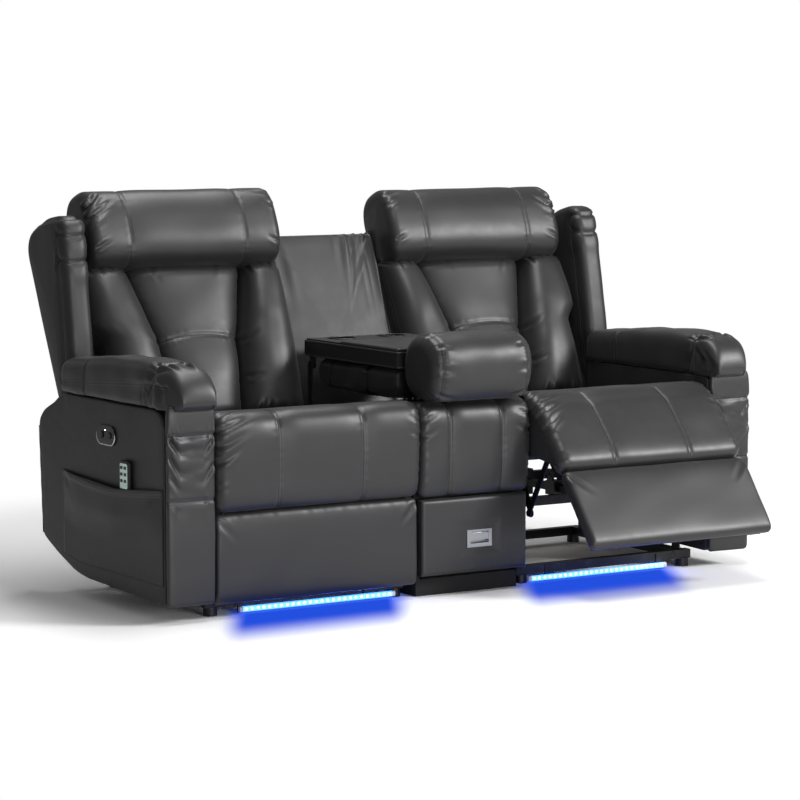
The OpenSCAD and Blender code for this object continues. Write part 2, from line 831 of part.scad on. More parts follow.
// One upright cushion of a back from x edges that are functions of height
module upright(edges, depth, bulge, seam) {
    loft([for (k = [0 : len(cushion_steps) - 1])
        let (f = 2 * cushion_steps[k] - 1)
        let (cx = (edges[k][0] + edges[k][1]) / 2)
        let (rx = (edges[k][1] - edges[k][0]) / 2 * draw_in(f, 0.08))
        let (ry = (depth + bulge * (1 - f * f)) * draw_in(f, 0.5) - (k == seam_step ? seam : 0))
        [for (i = [0 : 11])
            let (t = 360 * (i + 0.5) / 12)
            [cx + rx * spow(cos(t), 0.6), board_front - seat_gap + (sin(t) > 0 ? 2 * sin(t) - 2 : ry * spow(sin(t), 0.7)),
                cushion_low + cushion_steps[k] * (cushion_high - cushion_low)]]]);
}
module back_cushion(left) {
    heights = [for (f = cushion_steps) cushion_low + f * (cushion_high - cushion_low)];
    color(leather)
        at_back(left) {
            upright([for (z = heights) [-panel_half(z), panel_half(z)]], 52, 4, 5);
            upright([for (z = heights) [panel_half(z) + 1, bolster_edge(z, true)]], 70, 38, 0);
            upright([for (z = heights) [-bolster_edge(z, false), -panel_half(z) - 1]], 70, 38, 0);
        }
}

module headrest(left) {
    color(leather)
        at_back(left)
            difference() {
                translate([headrest_out, board_front + (back_board_t - headrest_t) / 2,
                        headrest_low + headrest_h / 2])
                    pad([pad_half - 21 + headrest_out, (headrest_t + back_board_t) / 2, headrest_h / 2], 0.72,
                        [0.28, 0.12], 0, headrest_seam, 5, 16);
                // Flat against the board's front and over its top
                span([-seat_half, board_front - seat_gap, headrest_low - 1],
                    [seat_half, board_front + 2 * back_board_t, board_high + seat_gap]);
            }
}

// Low rail that ties the two arms together behind the seats
module rear_rail() {
    color(wood)
        span([-half_w + arm_panel_t, rear_rail_y - rear_rail_t, rear_rail_z.x],
            [half_w - arm_panel_t, rear_rail_y, rear_rail_z.y]);
}
module power_inlet() {
    color(plastic)
        translate([inlet_x, rear_rail_y, (rear_rail_z.x + rear_rail_z.y) / 2])
            rotate([-90, 0, 0])
                difference() {
                    linear_extrude(inlet_t)
                        square(inlet_size, center = true);
                    translate([0, 0, 2])
                        cylinder(d = inlet_bore, h = inlet_t);
                }
}

// Route with a ring of points square to it at each step
module light_lead() {
    base = [seat_cx + led_x + led_l / 2, front_tube_y - 3 - led_d / 2, led_z + led_h / 2];
    turns = len(lead_route) - 1;
    color(plastic)
        loft([for (k = [0 : turns])
            let (ahead = lead_route[min(k + 1, turns)])
            let (behind = lead_route[max(k - 1, 0)])
            let (along = k == 0 ? [1, 0, 0] : k == turns ? [0, 1, 0] : (ahead - behind) / norm(ahead - behind))
            let (side = cross(along, [0.3, 0.5, -0.8]) / norm(cross(along, [0.3, 0.5, -0.8])))
            let (up = cross(along, side))
            [for (i = [0 : 7])
                base + lead_route[k] + lead_r * (cos(45 * i) * side + sin(45 * i) * up)]]);
}

// Boards of the middle place: plinth, two sides, seat board and rear board
module middle_carcass() {
    color(leather_dark)
        union() {
            span([-plinth_half, -carcass_front + plinth_back, 0], [plinth_half, carcass_rear - 60, plinth_h]);
            both_sides()
                span([middle_half - carcass_t, -carcass_front, plinth_h - 1],
                    [middle_half, carcass_rear - 60, carcass_top]);
            span([-middle_half, -carcass_front, carcass_top - carcass_t],
                [middle_half, carcass_rear, carcass_top]);
            span([-middle_half, carcass_rear - 60, plinth_h - 1], [middle_half, carcass_rear - 22, rear_board_h]);
            span([-middle_half + 1, -carcass_front, front_pad_z - 6],
                [middle_half - 1, -carcass_front + 20, carcass_top]);
        }
}

// Narrow seat: a top cushion and a front pad that run into each other
module middle_seat() {
    bottom = carcass_top + seat_gap;
    front = hinge_y - 16;
    rear = back_pivot_y - 4;
    half_d = (rear - front) / 2;
    half_t = (seat_h - bottom) / 2 - 8;
    front_y = -carcass_front - seat_gap;
    color(leather)
        difference() {
            union() {
                translate([0, (rear + front) / 2, bottom + half_t - 3])
                    rotate([-seat_slope - 0.6, 0, 0])
                        pad([middle_half - 3, half_d, half_t], 0.42, [0.02, 0.2], 4, middle_seam, 3, 16, seat_fall);
                translate([0, (front_y + front) / 2, (front_pad_z + bottom + half_t) / 2])
                    pad([middle_half - 3, (front_y - front) / 2, (bottom + half_t - front_pad_z) / 2], 0.4,
                        [0.2, 0.02], 0, middle_seam, 3, 12);
            }
            span([-middle_half, front_y, 0], [middle_half, 2 * front_d, bottom]);
        }
}

// Fixed panel behind the middle place, leaning as the backs do
module middle_rear_panel() {
    color(leather_dark)
        difference() {
            translate([0, back_pivot_y, back_pivot_z])
                rotate([-back_lean, 0, 0])
                    span([-middle_half + 3, board_front - 1, panel_low - 30],
                        [middle_half - 3, board_front + back_board_t, rear_panel_l]);
            // Flat foot on the carcass, and its lower end cut clear of the seat board
            span([-middle_w, -front_d, 0], [middle_w, 2 * front_d, rear_board_h + seat_gap]);
        }
}

// Folded console: covered frame with a raised lid over its front half, and its hinge lugs
module console_frame() {
    pin = [console_hinge_y, console_hinge_z];
    color(leather_dark)
        difference() {
            union() {
                span([-console_half, -console_front, table_z - console_t],
                    [console_half, console_rear, table_z - 8]);
                span([-console_half + 6, -console_front, table_z - 9], [console_half - 6, lid_rear, table_z]);
                span([-console_half + 6, lid_rear + 4, table_z - 9],
                    [console_half - 6, console_rear, table_z - 3]);
                both_sides() {
                    rod(pin, 12, post_x - 8, 6);
                    span([post_x - 8, pin.x - 12, pin.y], [post_x - 2, pin.x + 12, table_z - console_t + 1]);
                }
            }
            both_sides()
                rod(pin, pin_r + pin_gap, post_x - 9, 8);
            for (x = [-1, 1])
                translate([x * cup_x, cup_y, table_z - cup_depth])
                    cylinder(d = cup_d, h = cup_depth + 1);
        }
}
// Padding on the underside of the folded console, in two gathered halves
module console_cushion() {
    low = seat_h + 2;
    high = table_z - console_t - seat_gap;
    rear = console_hinge_y - 40;
    front = -console_front + 10;
    half = (rear - front) / 2;
    color(leather)
        loft([for (f = [-1, -0.97, -0.88, -0.6, cleft - 0.08, cleft, cleft + 0.08, 0.08, 0.4, 0.7, 0.88, 0.97, 1])
            let (dip = f == cleft ? 9 : 0)
            let (rz = (high - low) / 2 - dip)
            let (k = draw_in(f, 0.2))
            [for (i = [0 : 13])
                let (t = 360 * (i + 0.5) / 14)
                [(console_half - 2 - dip) * draw_in(f, 0.05) * spow(sin(t), 0.45), (rear + front) / 2 + f * half,
                    high - (high - low) / 2 * k + (rz * k + dip) * max(-1, spow(cos(t), 0.5))
                        * (cos(t) > 0 ? (high - low) / 2 * k / (rz * k + dip) : 1)]]]);
}
module console_pillow() {
    color(leather)
        translate([0, -console_front - pillow_r + 8, pillow_z])
            difference() {
                pad([pillow_half, pillow_r, pillow_z - seat_h - 2], 0.85, [0.3, 0.3], 0, pillow_seam, 0, 18);
                // Seat on the console frame's front end
                span([-console_half - 1, pillow_r - 8 - seat_gap, -pillow_r],
                    [console_half + 1, 2 * pillow_r, pillow_r]);
            }
}
// Posts and pins that carry the console on the carcass
module console_posts() {
    pin = [console_hinge_y, console_hinge_z];
    color(steel)
        both_sides() {
            span([post_x, pin.x - 10, carcass_top], [post_x + post_t, pin.x + 10, pin.y]);
            rod(pin, 10, post_x, post_t);
            rod(pin, pin_r, post_x - 9, post_t + 9);
            span([post_x - 30, pin.x - 10, carcass_top], [post_x + post_t, pin.x + 10, carcass_top + 3]);
        }
}

module drawer_box() {
    rear = drawer_front_y + drawer_d;
    color(wood)
        difference() {
            span([-drawer_half, drawer_front_y, drawer_bottom], [drawer_half, rear, drawer_top]);
            span([-drawer_half + drawer_t, drawer_front_y + drawer_t, drawer_bottom + drawer_t],
                [drawer_half - drawer_t, rear - drawer_t, drawer_top + 1]);
        }
}
module drawer_front() {
    rear = drawer_front_y;
    color(leather)
        difference() {
            union() {
                span([-middle_half + 3, rear - drawer_front_t + 6, plinth_h + 13],
                    [middle_half - 3, rear, front_pad_z - drawer_gap]);
                span([-middle_half + 11, rear - drawer_front_t, plinth_h + 21],
                    [middle_half - 11, rear, front_pad_z - drawer_gap - 8]);
            }
            translate([pull_x, rear - drawer_front_t - 1, pull_z])
                span([-pull_l / 2 + 8, 0, -pull_h / 2 + 8], [pull_l / 2 - 8, 15, pull_h / 2 - 4]);
        }
}
// Chrome plate with a dished finger recess, open at the front
module pull_plate() {
    face = drawer_front_y - drawer_front_t;
    color(chrome)
        translate([pull_x, face, pull_z])
            difference() {
                union() {
                    span([-pull_l / 2, -pull_t, -pull_h / 2], [pull_l / 2, 0, pull_h / 2]);
                    span([-pull_l / 2 + 8.5, -1, -pull_h / 2 + 8.5], [pull_l / 2 - 8.5, 13, pull_h / 2 - 4.5]);
                }
                span([-pull_l / 2 + 10, -pull_t - 1, -pull_h / 2 + 10], [pull_l / 2 - 10, 11.5, pull_h / 2 - 6]);
            }
}
// Flap that hangs over the recess from a pin in the plate
module pull_flap() {
    face = drawer_front_y - drawer_front_t;
    color(chrome)
        translate([pull_x, face, pull_z]) {
            span([-pull_l / 2 + 10.3, -pull_t + 0.5, -4], [pull_l / 2 - 10.3, -pull_t + 2.5, pull_h / 2 - 9]);
            rod([-pull_t + 1.8, pull_h / 2 - 9], 1.6, -pull_l / 2 + 10.1, pull_l - 20.2);
        }
}
module drawer_runners() {
    rear = drawer_front_y + drawer_d - 20;
    side = middle_half - carcass_t;
    color(steel)
        both_sides() {
            span([side - runner_t, drawer_front_y + 6, drawer_bottom - 3],
                [side, rear, drawer_bottom - 3 + runner_h]);
            span([drawer_half - 12, drawer_front_y + 6, drawer_bottom - 3], [side, rear, drawer_bottom - seat_gap]);
        }
}

// Handset that stands in the left pocket
module remote() {
    color(plastic)
        at_side(true)
            span([half_w + 2 * seat_gap, remote_y - remote_w / 2, remote_z],
                [half_w + 2 * seat_gap + remote_t, remote_y + remote_w / 2, remote_z + remote_l]);
}

arm(true);  // left_arm
arm(false);  // right_arm
arm_front(true);  // left_arm_front
arm_front(false);  // right_arm_front
arm_pad(true);  // left_arm_pad
arm_pad(false);  // right_arm_pad
pocket(true);  // left_pocket
pocket(false);  // right_pocket
switch_plate(true);  // left_switch_plate
switch_plate(false);  // right_switch_plate
button(true, -1);  // left_button_open
button(false, -1);  // right_button_open
button(true, 1);  // left_button_close
button(false, 1);  // right_button_close
base_frame(true);  // left_base_frame
base_frame(false);  // right_base_frame
light_strip(true);  // left_light_strip
light_strip(false);  // right_light_strip
seat_deck(true);  // left_seat_deck
seat_deck(false);  // right_seat_deck
seat_cushion(true);  // left_seat_cushion
seat_cushion(false);  // right_seat_cushion
back_shell(true);  // left_back_shell
back_shell(false);  // right_back_shell
back_cushion(true);  // left_back_cushion
back_cushion(false);  // right_back_cushion
headrest(true);  // left_headrest
headrest(false);  // right_headrest
flap_frame(true);  // left_flap_frame
flap_frame(false);  // right_flap_frame
flap_pad(true);  // left_flap_pad
flap_pad(false);  // right_flap_pad
footrest_board(true);  // left_footrest_board
footrest_board(false);  // right_footrest_board
footrest_pad(true);  // left_footrest_pad
footrest_pad(false);  // right_footrest_pad
lift_link(true);  // left_lift_link
lift_link(false);  // right_lift_link
coupler(true);  // left_coupler
coupler(false);  // right_coupler
actuator(true);  // left_actuator
actuator(false);  // right_actuator
drive_nut(true);  // left_drive_nut
drive_nut(false);  // right_drive_nut
rear_rail();
light_lead();
middle_carcass();
middle_seat();
middle_rear_panel();
console_frame();
console_cushion();
console_pillow();
console_posts();
drawer_box();
drawer_front();
pull_plate();
pull_flap();
drawer_runners();
remote();
power_inlet();
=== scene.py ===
"""Power reclining two-seat sofa with a fold-down console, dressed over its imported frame.

Sizes in the code are millimetres unless a name says otherwise, and meshes are written in metres.
X runs to the viewer's right, Y to the rear and Z up, with the origin on the floor under the middle.
"""

import json
import logging
import math
from dataclasses import dataclass, field
from enum import Enum
from typing import Callable, Optional, Sequence

import bpy
import numpy as np
from mathutils import Matrix, Vector


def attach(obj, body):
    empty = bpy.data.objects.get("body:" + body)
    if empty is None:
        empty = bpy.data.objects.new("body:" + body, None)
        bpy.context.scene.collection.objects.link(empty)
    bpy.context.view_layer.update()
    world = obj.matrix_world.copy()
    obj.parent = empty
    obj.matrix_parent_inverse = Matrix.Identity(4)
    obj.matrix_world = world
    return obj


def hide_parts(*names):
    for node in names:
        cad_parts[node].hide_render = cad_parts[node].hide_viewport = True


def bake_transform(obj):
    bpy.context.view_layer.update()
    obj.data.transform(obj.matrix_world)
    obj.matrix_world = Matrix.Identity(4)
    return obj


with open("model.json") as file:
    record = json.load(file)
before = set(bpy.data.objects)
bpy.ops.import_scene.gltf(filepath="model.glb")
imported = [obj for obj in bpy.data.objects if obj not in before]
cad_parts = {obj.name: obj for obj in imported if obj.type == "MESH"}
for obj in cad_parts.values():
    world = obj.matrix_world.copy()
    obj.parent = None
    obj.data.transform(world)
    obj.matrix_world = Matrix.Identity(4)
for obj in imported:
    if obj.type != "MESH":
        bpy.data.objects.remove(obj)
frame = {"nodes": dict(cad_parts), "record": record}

logging.basicConfig(level=logging.INFO, format="%(message)s")
LOG = logging.getLogger("sofa")
MM = 0.001
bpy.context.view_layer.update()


class Side(Enum):
    """Which seat or arm of the sofa, as the viewer in front of it sees it."""

    LEFT = -1
    RIGHT = 1

    @property
    def word(self) -> str:
        """Name used for nodes and bodies."""
        return self.name.lower()


class Slot(Enum):
    """Material slots of the record."""

    LEATHER = "leather"
    PANEL = "leather_panel"
    STEEL = "black_steel"
    PLYWOOD = "plywood"
    CARCASS = "carcass"
    MOTOR = "motor_plastic"
    SWITCH = "switch_plastic"
    BUTTON = "button_plastic"
    LIGHT = "light"
    LEAD = "lead"
    HANDSET = "handset_plastic"
    CHROME = "chrome"
    RUNNER = "runner_steel"


# Sizes shared by the classes, as in the part's own source; FAR is the distance of a point with no seam
SEAT_CX = 484.0
PAD_HALF = 304.0
ARM_MID = 861.5
HINGE = np.array([-392.0, 504.0])
BACK_PIN = np.array([150.0, 330.0])
BOARD_PIN = np.array([14.0, -233.0])
RIGHT_OPEN = 43.0
RIGHT_BOARD = 43.0 * 0.867
LIGHT_SHIFT = -31.5
FAR = 1000.0
LEANS = {Side.LEFT: 22.0, Side.RIGHT: 25.5}


def turn(points: np.ndarray, degrees: np.ndarray | float) -> np.ndarray:
    """Turn YZ pairs forwards and up about their origin.

    A point (y, z) goes to (y cos + z sin, z cos - y sin), which is a turn about -X.

    Args:
        points: Array whose last axis holds y and z.
        degrees: Angle, or an array of angles that matches the other axes.

    Returns:
        The turned pairs.
    """
    c, s = np.cos(np.radians(degrees)), np.sin(np.radians(degrees))
    y, z = points[..., 0], points[..., 1]
    return np.stack([y * c + z * s, z * c - y * s], axis=-1)


def smooth(t: np.ndarray) -> np.ndarray:
    """Ease 0 to 1 with level ends: 3t² - 2t³ on the clipped value."""
    t = np.clip(t, 0.0, 1.0)
    return t * t * (3.0 - 2.0 * t)


def bell(d: np.ndarray, w: float) -> np.ndarray:
    """Bell curve exp(-(d/w)²)."""
    return np.exp(-((d / w) ** 2))


def ripple(s: np.ndarray, pitch: float, seed: int) -> np.ndarray:
    """Uneven wave along s: five sines near one pitch with fixed phases, from about -1 to 1.

    Args:
        s: Distances in millimetres.
        pitch: Mean distance between crests.
        seed: Picks the phases, so each place has its own wave.

    Returns:
        Wave heights.
    """
    rng = np.random.default_rng(seed)
    total = np.zeros_like(s, dtype=float)
    for k in range(5):
        rate = 2.0 * math.pi / pitch * (0.55 + 0.27 * k + 0.12 * rng.random())
        total += np.sin(rate * s + rng.random() * 2.0 * math.pi) / (1.0 + 0.35 * k)
    return total / 2.4


def closed_curve(points: Sequence[Sequence[float]], count: int) -> np.ndarray:
    """Closed Catmull-Rom curve through points, resampled to even steps of its length.

    Args:
        points: Corner points in order.
        count: Number of points to return.

    Returns:
        Array of count points.
    """
    p = np.asarray(points, float)
    n, dense = len(p), 24
    t = np.arange(n * dense) / dense
    i = np.floor(t).astype(int)
    f = (t - i)[:, None]
    a, b, c, d = (p[(i + k) % n] for k in (-1, 0, 1, 2))
    q = 0.5 * (2 * b + (c - a) * f + (2 * a - 5 * b + 4 * c - d) * f**2 + (3 * b - a - 3 * c + d) * f**3)
    loop = np.vstack([q, q[:1]])
    run = np.concatenate([[0.0], np.cumsum(np.linalg.norm(np.diff(loop, axis=0), axis=1))])
    at = np.linspace(0.0, run[-1], count, endpoint=False)
    return np.stack([np.interp(at, run, loop[:, k]) for k in range(p.shape[1])], axis=-1)


def circle(count: int) -> np.ndarray:
    """Angles once round a circle in even steps, without the last."""
    return np.linspace(0.0, 2.0 * math.pi, count, endpoint=False)


def squared(v: np.ndarray, power: float) -> np.ndarray:
    """Signed power, which squares off a round outline."""
    return np.sign(v) * np.abs(v) ** power


@dataclass
class Skin:
    """Sheet of points over two parameters, rows by columns, closed along its columns.

    seam holds each point's distance to its nearest sewn line, and run the distance along that line.
    """

    pts: np.ndarray
    seam: np.ndarray = field(default=None)
    run: np.ndarray = field(default=None)

    def __post_init__(self) -> None:
        """Start with no seams: every point far from one."""
        shape = self.pts.shape[:2]
        if self.seam is None:
            self.seam = np.full(shape, FAR)
        if self.run is None:
            self.run = np.zeros(shape)

    def normals(self) -> np.ndarray:
        """Unit normals from the cross product of the central differences along both parameters."""
        along = np.gradient(self.pts, axis=0)
        around = (np.roll(self.pts, -1, axis=1) - np.roll(self.pts, 1, axis=1)) / 2.0
        n = np.cross(along, around)
        n /= np.maximum(np.linalg.norm(n, axis=-1, keepdims=True), 1e-9)
        centre = self.pts.mean(axis=(0, 1))
        if np.sum(n * (self.pts - centre)) < 0.0:
            n = -n
        return n

    def push(self, height: np.ndarray) -> "Skin":
        """Move every point outwards along its normal by its height."""
        self.pts = self.pts + self.normals() * height[..., None]
        return self

    def axes(self, *order: int) -> "Skin":
        """Put the points' coordinates in another order, such as a slab's depth first."""
        self.pts = np.stack([self.pts[..., k] for k in order], axis=-1)
        return self

    def sew(self, distance: np.ndarray, run: np.ndarray) -> "Skin":
        """Record a sewn line where it is nearer than those before it."""
        closer = np.abs(distance) < np.abs(self.seam)
        self.seam = np.where(closer, distance, self.seam)
        self.run = np.where(closer, run, self.run)
        return self


class Maker:
    """Turns skins and tubes into pieces that ride on the frame's bodies."""

    @staticmethod
    def mesh(
        name: str,
        verts: np.ndarray,
        faces: list | np.ndarray,
        seam: Optional[np.ndarray] = None,
        run: Optional[np.ndarray] = None,
        soft: bool = True,
    ) -> bpy.types.Object:
        """Make an object from points in millimetres, whose faces already look outwards.

        Args:
            name: Piece name.
            verts: Points, one row each.
            faces: Vertex indices of each face.
            seam: Distance of each point to a sewn line, in millimetres.
            run: Distance along that line, in millimetres.
            soft: Whether the faces are shaded smooth.

        Returns:
            The new object.
        """
        data = bpy.data.meshes.new(name)
        data.from_pydata((verts * MM).tolist(), [], [list(map(int, f)) for f in faces])
        data.validate()
        for key, values in (("seam", seam), ("run", run)):
            layer = data.attributes.new(key, "FLOAT", "POINT")
            fill = np.full(len(verts), 1.0 if key == "seam" else 0.0) if values is None else values * MM
            if len(fill) == len(data.vertices):
                layer.data.foreach_set("value", fill.astype(np.float32))
        data.polygons.foreach_set("use_smooth", np.full(len(data.polygons), soft))
        data.update()
        obj = bpy.data.objects.new(name, data)
        bpy.context.scene.collection.objects.link(obj)
        return obj

    @staticmethod
    def outward(verts: np.ndarray, quads: np.ndarray) -> bool:
        """Tell by the signed volume of its quads whether a closed grid faces outwards."""
        a, b, c, d = (verts[quads[:, k]] for k in range(4))
        v = np.einsum("ij,ij->i", a, np.cross(b, c)) + np.einsum("ij,ij->i", a, np.cross(c, d))
        return float(v.sum()) > 0.0

    @classmethod
    def skin(cls, name: str, skin: Skin, soft: bool = True) -> bpy.types.Object:
        """Close a skin with a cap at either end and make its piece."""
        rows, cols = skin.pts.shape[:2]
        verts = skin.pts.reshape(-1, 3)
        i = np.arange(rows - 1)[:, None] * cols
        j = np.arange(cols)[None, :]
        k = (j + 1) % cols
        quads = np.stack([i + j, i + cols + j, i + cols + k, i + k], axis=-1).reshape(-1, 4)
        first = np.arange(cols)
        last = first + (rows - 1) * cols
        flip = not cls.outward(verts, quads)
        faces = [q[::-1] if flip else q for q in quads]
        faces += [first[::-1] if flip else first, last if flip else last[::-1]]
        return cls.mesh(name, verts, faces, skin.seam.reshape(-1), skin.run.reshape(-1), soft)

    @classmethod
    def tube(
        cls, name: str, path: np.ndarray, radius: np.ndarray | float, sides: int = 8, loop: bool = False
    ) -> bpy.types.Object:
        """Round tube along a path: rings square to it, whose sides are carried by the path's own turn.

        Args:
            name: Piece name.
            path: Points along the middle of the tube.
            radius: One radius, or one for each point.
            sides: Corners of each ring.
            loop: Whether the path closes on itself.

        Returns:
            The new object.
        """
        p = np.asarray(path, float)
        step = np.roll(p, -1, axis=0) - np.roll(p, 1, axis=0) if loop else np.gradient(p, axis=0)
        t = step / np.maximum(np.linalg.norm(step, axis=1, keepdims=True), 1e-9)
        ref = np.array([0.31, 0.47, 0.83])
        if np.abs(t @ ref).max() > 0.95:
            ref = np.array([0.83, -0.31, 0.47])
        a = np.cross(t, ref)
        a /= np.linalg.norm(a, axis=1, keepdims=True)
        b = np.cross(t, a)
        w = np.arange(sides) * 2.0 * math.pi / sides
        r = np.broadcast_to(np.asarray(radius, float).reshape(-1, 1, 1), (len(p), 1, 1))
        rings = p[:, None, :] + r * (
            np.cos(w)[None, :, None] * a[:, None] + np.sin(w)[None, :, None] * b[:, None]
        )
        if loop:
            rings = np.concatenate([rings, rings[:1]])
            rows, cols = rings.shape[:2]
            verts = rings[:-1].reshape(-1, 3)
            i, j = np.meshgrid(np.arange(rows - 1), np.arange(cols), indexing="ij")
            n = (i + 1) % (rows - 1)
            k = (j + 1) % cols
            quads = np.stack([i * cols + j, n * cols + j, n * cols + k, i * cols + k], axis=-1).reshape(-1, 4)
            if not cls.outward(verts, quads):
                quads = quads[:, ::-1]
            return cls.mesh(name, verts, quads)
        return cls.skin(name, Skin(rings))

    @staticmethod
    def finish(
        obj: bpy.types.Object,
        body: str,
        slot: Slot,
        material: bpy.types.Material,
        nodes: Sequence[str] = (),
        fill: Optional[float] = None,
    ) -> bpy.types.Object:
        """Dress a piece and hand it to the frame.

        Args:
            obj: The piece.
            body: Body it moves with.
            slot: Record slot that its finish comes from; not used.
            material: Its material.
            nodes: CAD nodes that it stands for.
            fill: How full it is, for a padded piece; not used.

        Returns:
            The same piece.
        """
        obj.data.materials.clear()
        obj.data.materials.append(material)
        if nodes:
            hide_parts(*nodes)
        if body:
            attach(obj, body)
        LOG.info("made %s on %s", obj.name, body or "two bodies")
        return obj


def srgb(code: str) -> tuple[float, float, float, float]:
    """Linear colour from a hex code in sRGB."""
    parts = [int(code.lstrip("#")[k : k + 2], 16) / 255.0 for k in (0, 2, 4)]
    return tuple((c / 12.92 if c <= 0.04045 else ((c + 0.055) / 1.055) ** 2.4) for c in parts) + (1.0,)


def add_node(
    tree: bpy.types.NodeTree, kind: str, settings: Optional[dict] = None, links: Optional[dict] = None
) -> bpy.types.Node:
    """Add a shader node with its settings and links.

    Args:
        tree: Node tree to add to.
        kind: Type name of the node.
        settings: Values by attribute name, or by input name or number where the node has such an input.
        links: Source sockets by input name or number.

    Returns:
        The new node.
    """
    node = tree.nodes.new(kind)
    for key, value in (settings or {}).items():
        if isinstance(key, int) or (key in node.inputs and not hasattr(node, str(key))):
            node.inputs[key].default_value = value
        else:
            setattr(node, key, value)
    for key, source in (links or {}).items():
        tree.links.new(source, node.inputs[key])
    return node


def calc(
    tree: bpy.types.NodeTree, operation: str, *inputs: bpy.types.NodeSocket | float
) -> bpy.types.NodeSocket:
    """Result of a math node, whose inputs are sockets or fixed numbers in their order."""
    fixed = {k: v for k, v in enumerate(inputs) if isinstance(v, float)}
    links = {k: v for k, v in enumerate(inputs) if not isinstance(v, float)}
    return add_node(tree, "ShaderNodeMath", {"operation": operation, **fixed}, links).outputs[0]


def noise(
    tree: bpy.types.NodeTree, size_mm: float, place: bpy.types.NodeSocket, settings: Optional[dict] = None
) -> bpy.types.NodeSocket:
    """Noise whose coarsest grain has a size in millimetres."""
    values = {"Scale": 1.0 / (size_mm * MM), **(settings or {})}
    return add_node(tree, "ShaderNodeTexNoise", values, {"Vector": place}).outputs["Fac"]


@dataclass(frozen=True)
class Finish:
    """Base of every finish: a principled shader whose fixed values sit on its own sockets."""

    name: str
    colour: str
    roughness: float = 0.5
    metallic: float = 0.0

    def start(self) -> tuple[bpy.types.Material, bpy.types.NodeTree, bpy.types.Node]:
        """Make the material and its shader with this finish's fixed values."""
        mat = bpy.data.materials.new(self.name)
        mat.use_nodes = True
        tree = mat.node_tree
        shader = next(n for n in tree.nodes if n.type == "BSDF_PRINCIPLED")
        shader.inputs["Base Color"].default_value = srgb(self.colour)
        shader.inputs["Roughness"].default_value = self.roughness
        shader.inputs["Metallic"].default_value = self.metallic
        mat.diffuse_color = srgb(self.colour)
        return mat, tree, shader

    @staticmethod
    def emboss(
        tree: bpy.types.NodeTree, shader: bpy.types.Node, *layers: tuple[bpy.types.NodeSocket, float, float]
    ) -> None:
        """Bumps one on another, each by a height, a strength and a distance in millimetres."""
        normal = None
        for height, strength, distance in layers:
            links = {"Height": height} if normal is None else {"Height": height, "Normal": normal}
            values = {"Strength": strength, "Distance": distance * MM}
            normal = add_node(tree, "ShaderNodeBump", values, links).outputs["Normal"]
        tree.links.new(normal, shader.inputs["Normal"])

    def polish(
        self,
        tree: bpy.types.NodeTree,
        shader: bpy.types.Node,
        share: bpy.types.NodeSocket,
        less: float,
        more: float,
    ) -> None:
        """Let the roughness vary with a share, from a little less to a little more than its own value."""
        values = {"To Min": max(0.05, self.roughness - less), "To Max": self.roughness + more}
        span = add_node(tree, "ShaderNodeMapRange", values, {"Value": share})
        tree.links.new(span.outputs[0], shader.inputs["Roughness"])

    @staticmethod
    def blend(
        tree: bpy.types.NodeTree, factor: bpy.types.NodeSocket, low: str, high: str
    ) -> bpy.types.NodeSocket:
        """Colour between two hex codes by a factor."""
        ramp = add_node(tree, "ShaderNodeValToRGB", links={"Fac": factor})
        ramp.color_ramp.elements[0].color = srgb(low)
        ramp.color_ramp.elements[1].color = srgb(high)
        return ramp.outputs["Color"]


@dataclass(frozen=True)
class Leather(Finish):
    """Polyurethane-coated split leather: embossed pebble grain of about 1.6 mm, soft broad sheen.

    Along a sewn line a near-black band 3 mm wide is painted as shade in the seam's dip, between two rows
    of stitches 7.2 mm apart, which are 5 mm long with 2 mm between them, drawn from the piece's own
    seam and run attributes.
    """

    light: str = "#242425"
    thread: str = "#38383a"
    grain_mm: float = 1.6
    rows_mm: float = 3.6
    pitch_mm: float = 7.0
    stitch_mm: float = 5.0
    groove_mm: float = 1.5
    # Painted shade: the near-black colour laid along each seam.
    fold: str = "#0a0a0a"

    def material(self) -> bpy.types.Material:
        """Build the leather's nodes."""
        mat, tree, shader = self.start()
        shader.inputs["Specular IOR Level"].default_value = 0.5
        shader.inputs["Coat Weight"].default_value = 0.02
        shader.inputs["Coat Roughness"].default_value = 0.32
        shader.inputs["Sheen Weight"].default_value = 0.05
        place = add_node(tree, "ShaderNodeTexCoord").outputs["Object"]
        cells = add_node(
            tree, "ShaderNodeTexVoronoi", {"feature": "SMOOTH_F1", "Scale": 1.0 / (self.grain_mm * MM)},
            {"Vector": place},
        ).outputs["Distance"]
        creases = noise(tree, 24.0, place, {"Detail": 5.0, "Roughness": 0.62})
        tone = noise(tree, 110.0, place, {"Detail": 3.0})
        # A stitch lies where the distance to the seam is near rows_mm and the run is inside its length
        seam = add_node(tree, "ShaderNodeAttribute", {"attribute_name": "seam"}).outputs["Fac"]
        run = add_node(tree, "ShaderNodeAttribute", {"attribute_name": "run"}).outputs["Fac"]
        off = calc(tree, "ABSOLUTE", seam)
        row = calc(tree, "COMPARE", off, self.rows_mm * MM, 0.75 * MM)
        dash = calc(tree, "MODULO", run, self.pitch_mm * MM)
        lit = calc(tree, "LESS_THAN", dash, self.stitch_mm * MM)
        stitch = calc(tree, "MULTIPLY", row, lit)
        # Painted shade: points within groove_mm of a seam take the near-black seam colour.
        groove = calc(tree, "LESS_THAN", off, self.groove_mm * MM)
        base = self.blend(tree, tone, self.colour, self.light)
        mixed = {"data_type": "RGBA", 7: srgb(self.thread)}
        sewn = add_node(tree, "ShaderNodeMix", mixed, {0: stitch, 6: base}).outputs[2]
        mixed = {"data_type": "RGBA", 7: srgb(self.fold)}
        deep = add_node(tree, "ShaderNodeMix", mixed, {0: groove, 6: sewn}).outputs[2]
        tree.links.new(deep, shader.inputs["Base Color"])
        self.polish(tree, shader, creases, 0.05, 0.06)
        self.emboss(tree, shader, (creases, 0.08, 1.6), (cells, 0.10, 0.4), (stitch, 0.5, 0.8))
        return mat


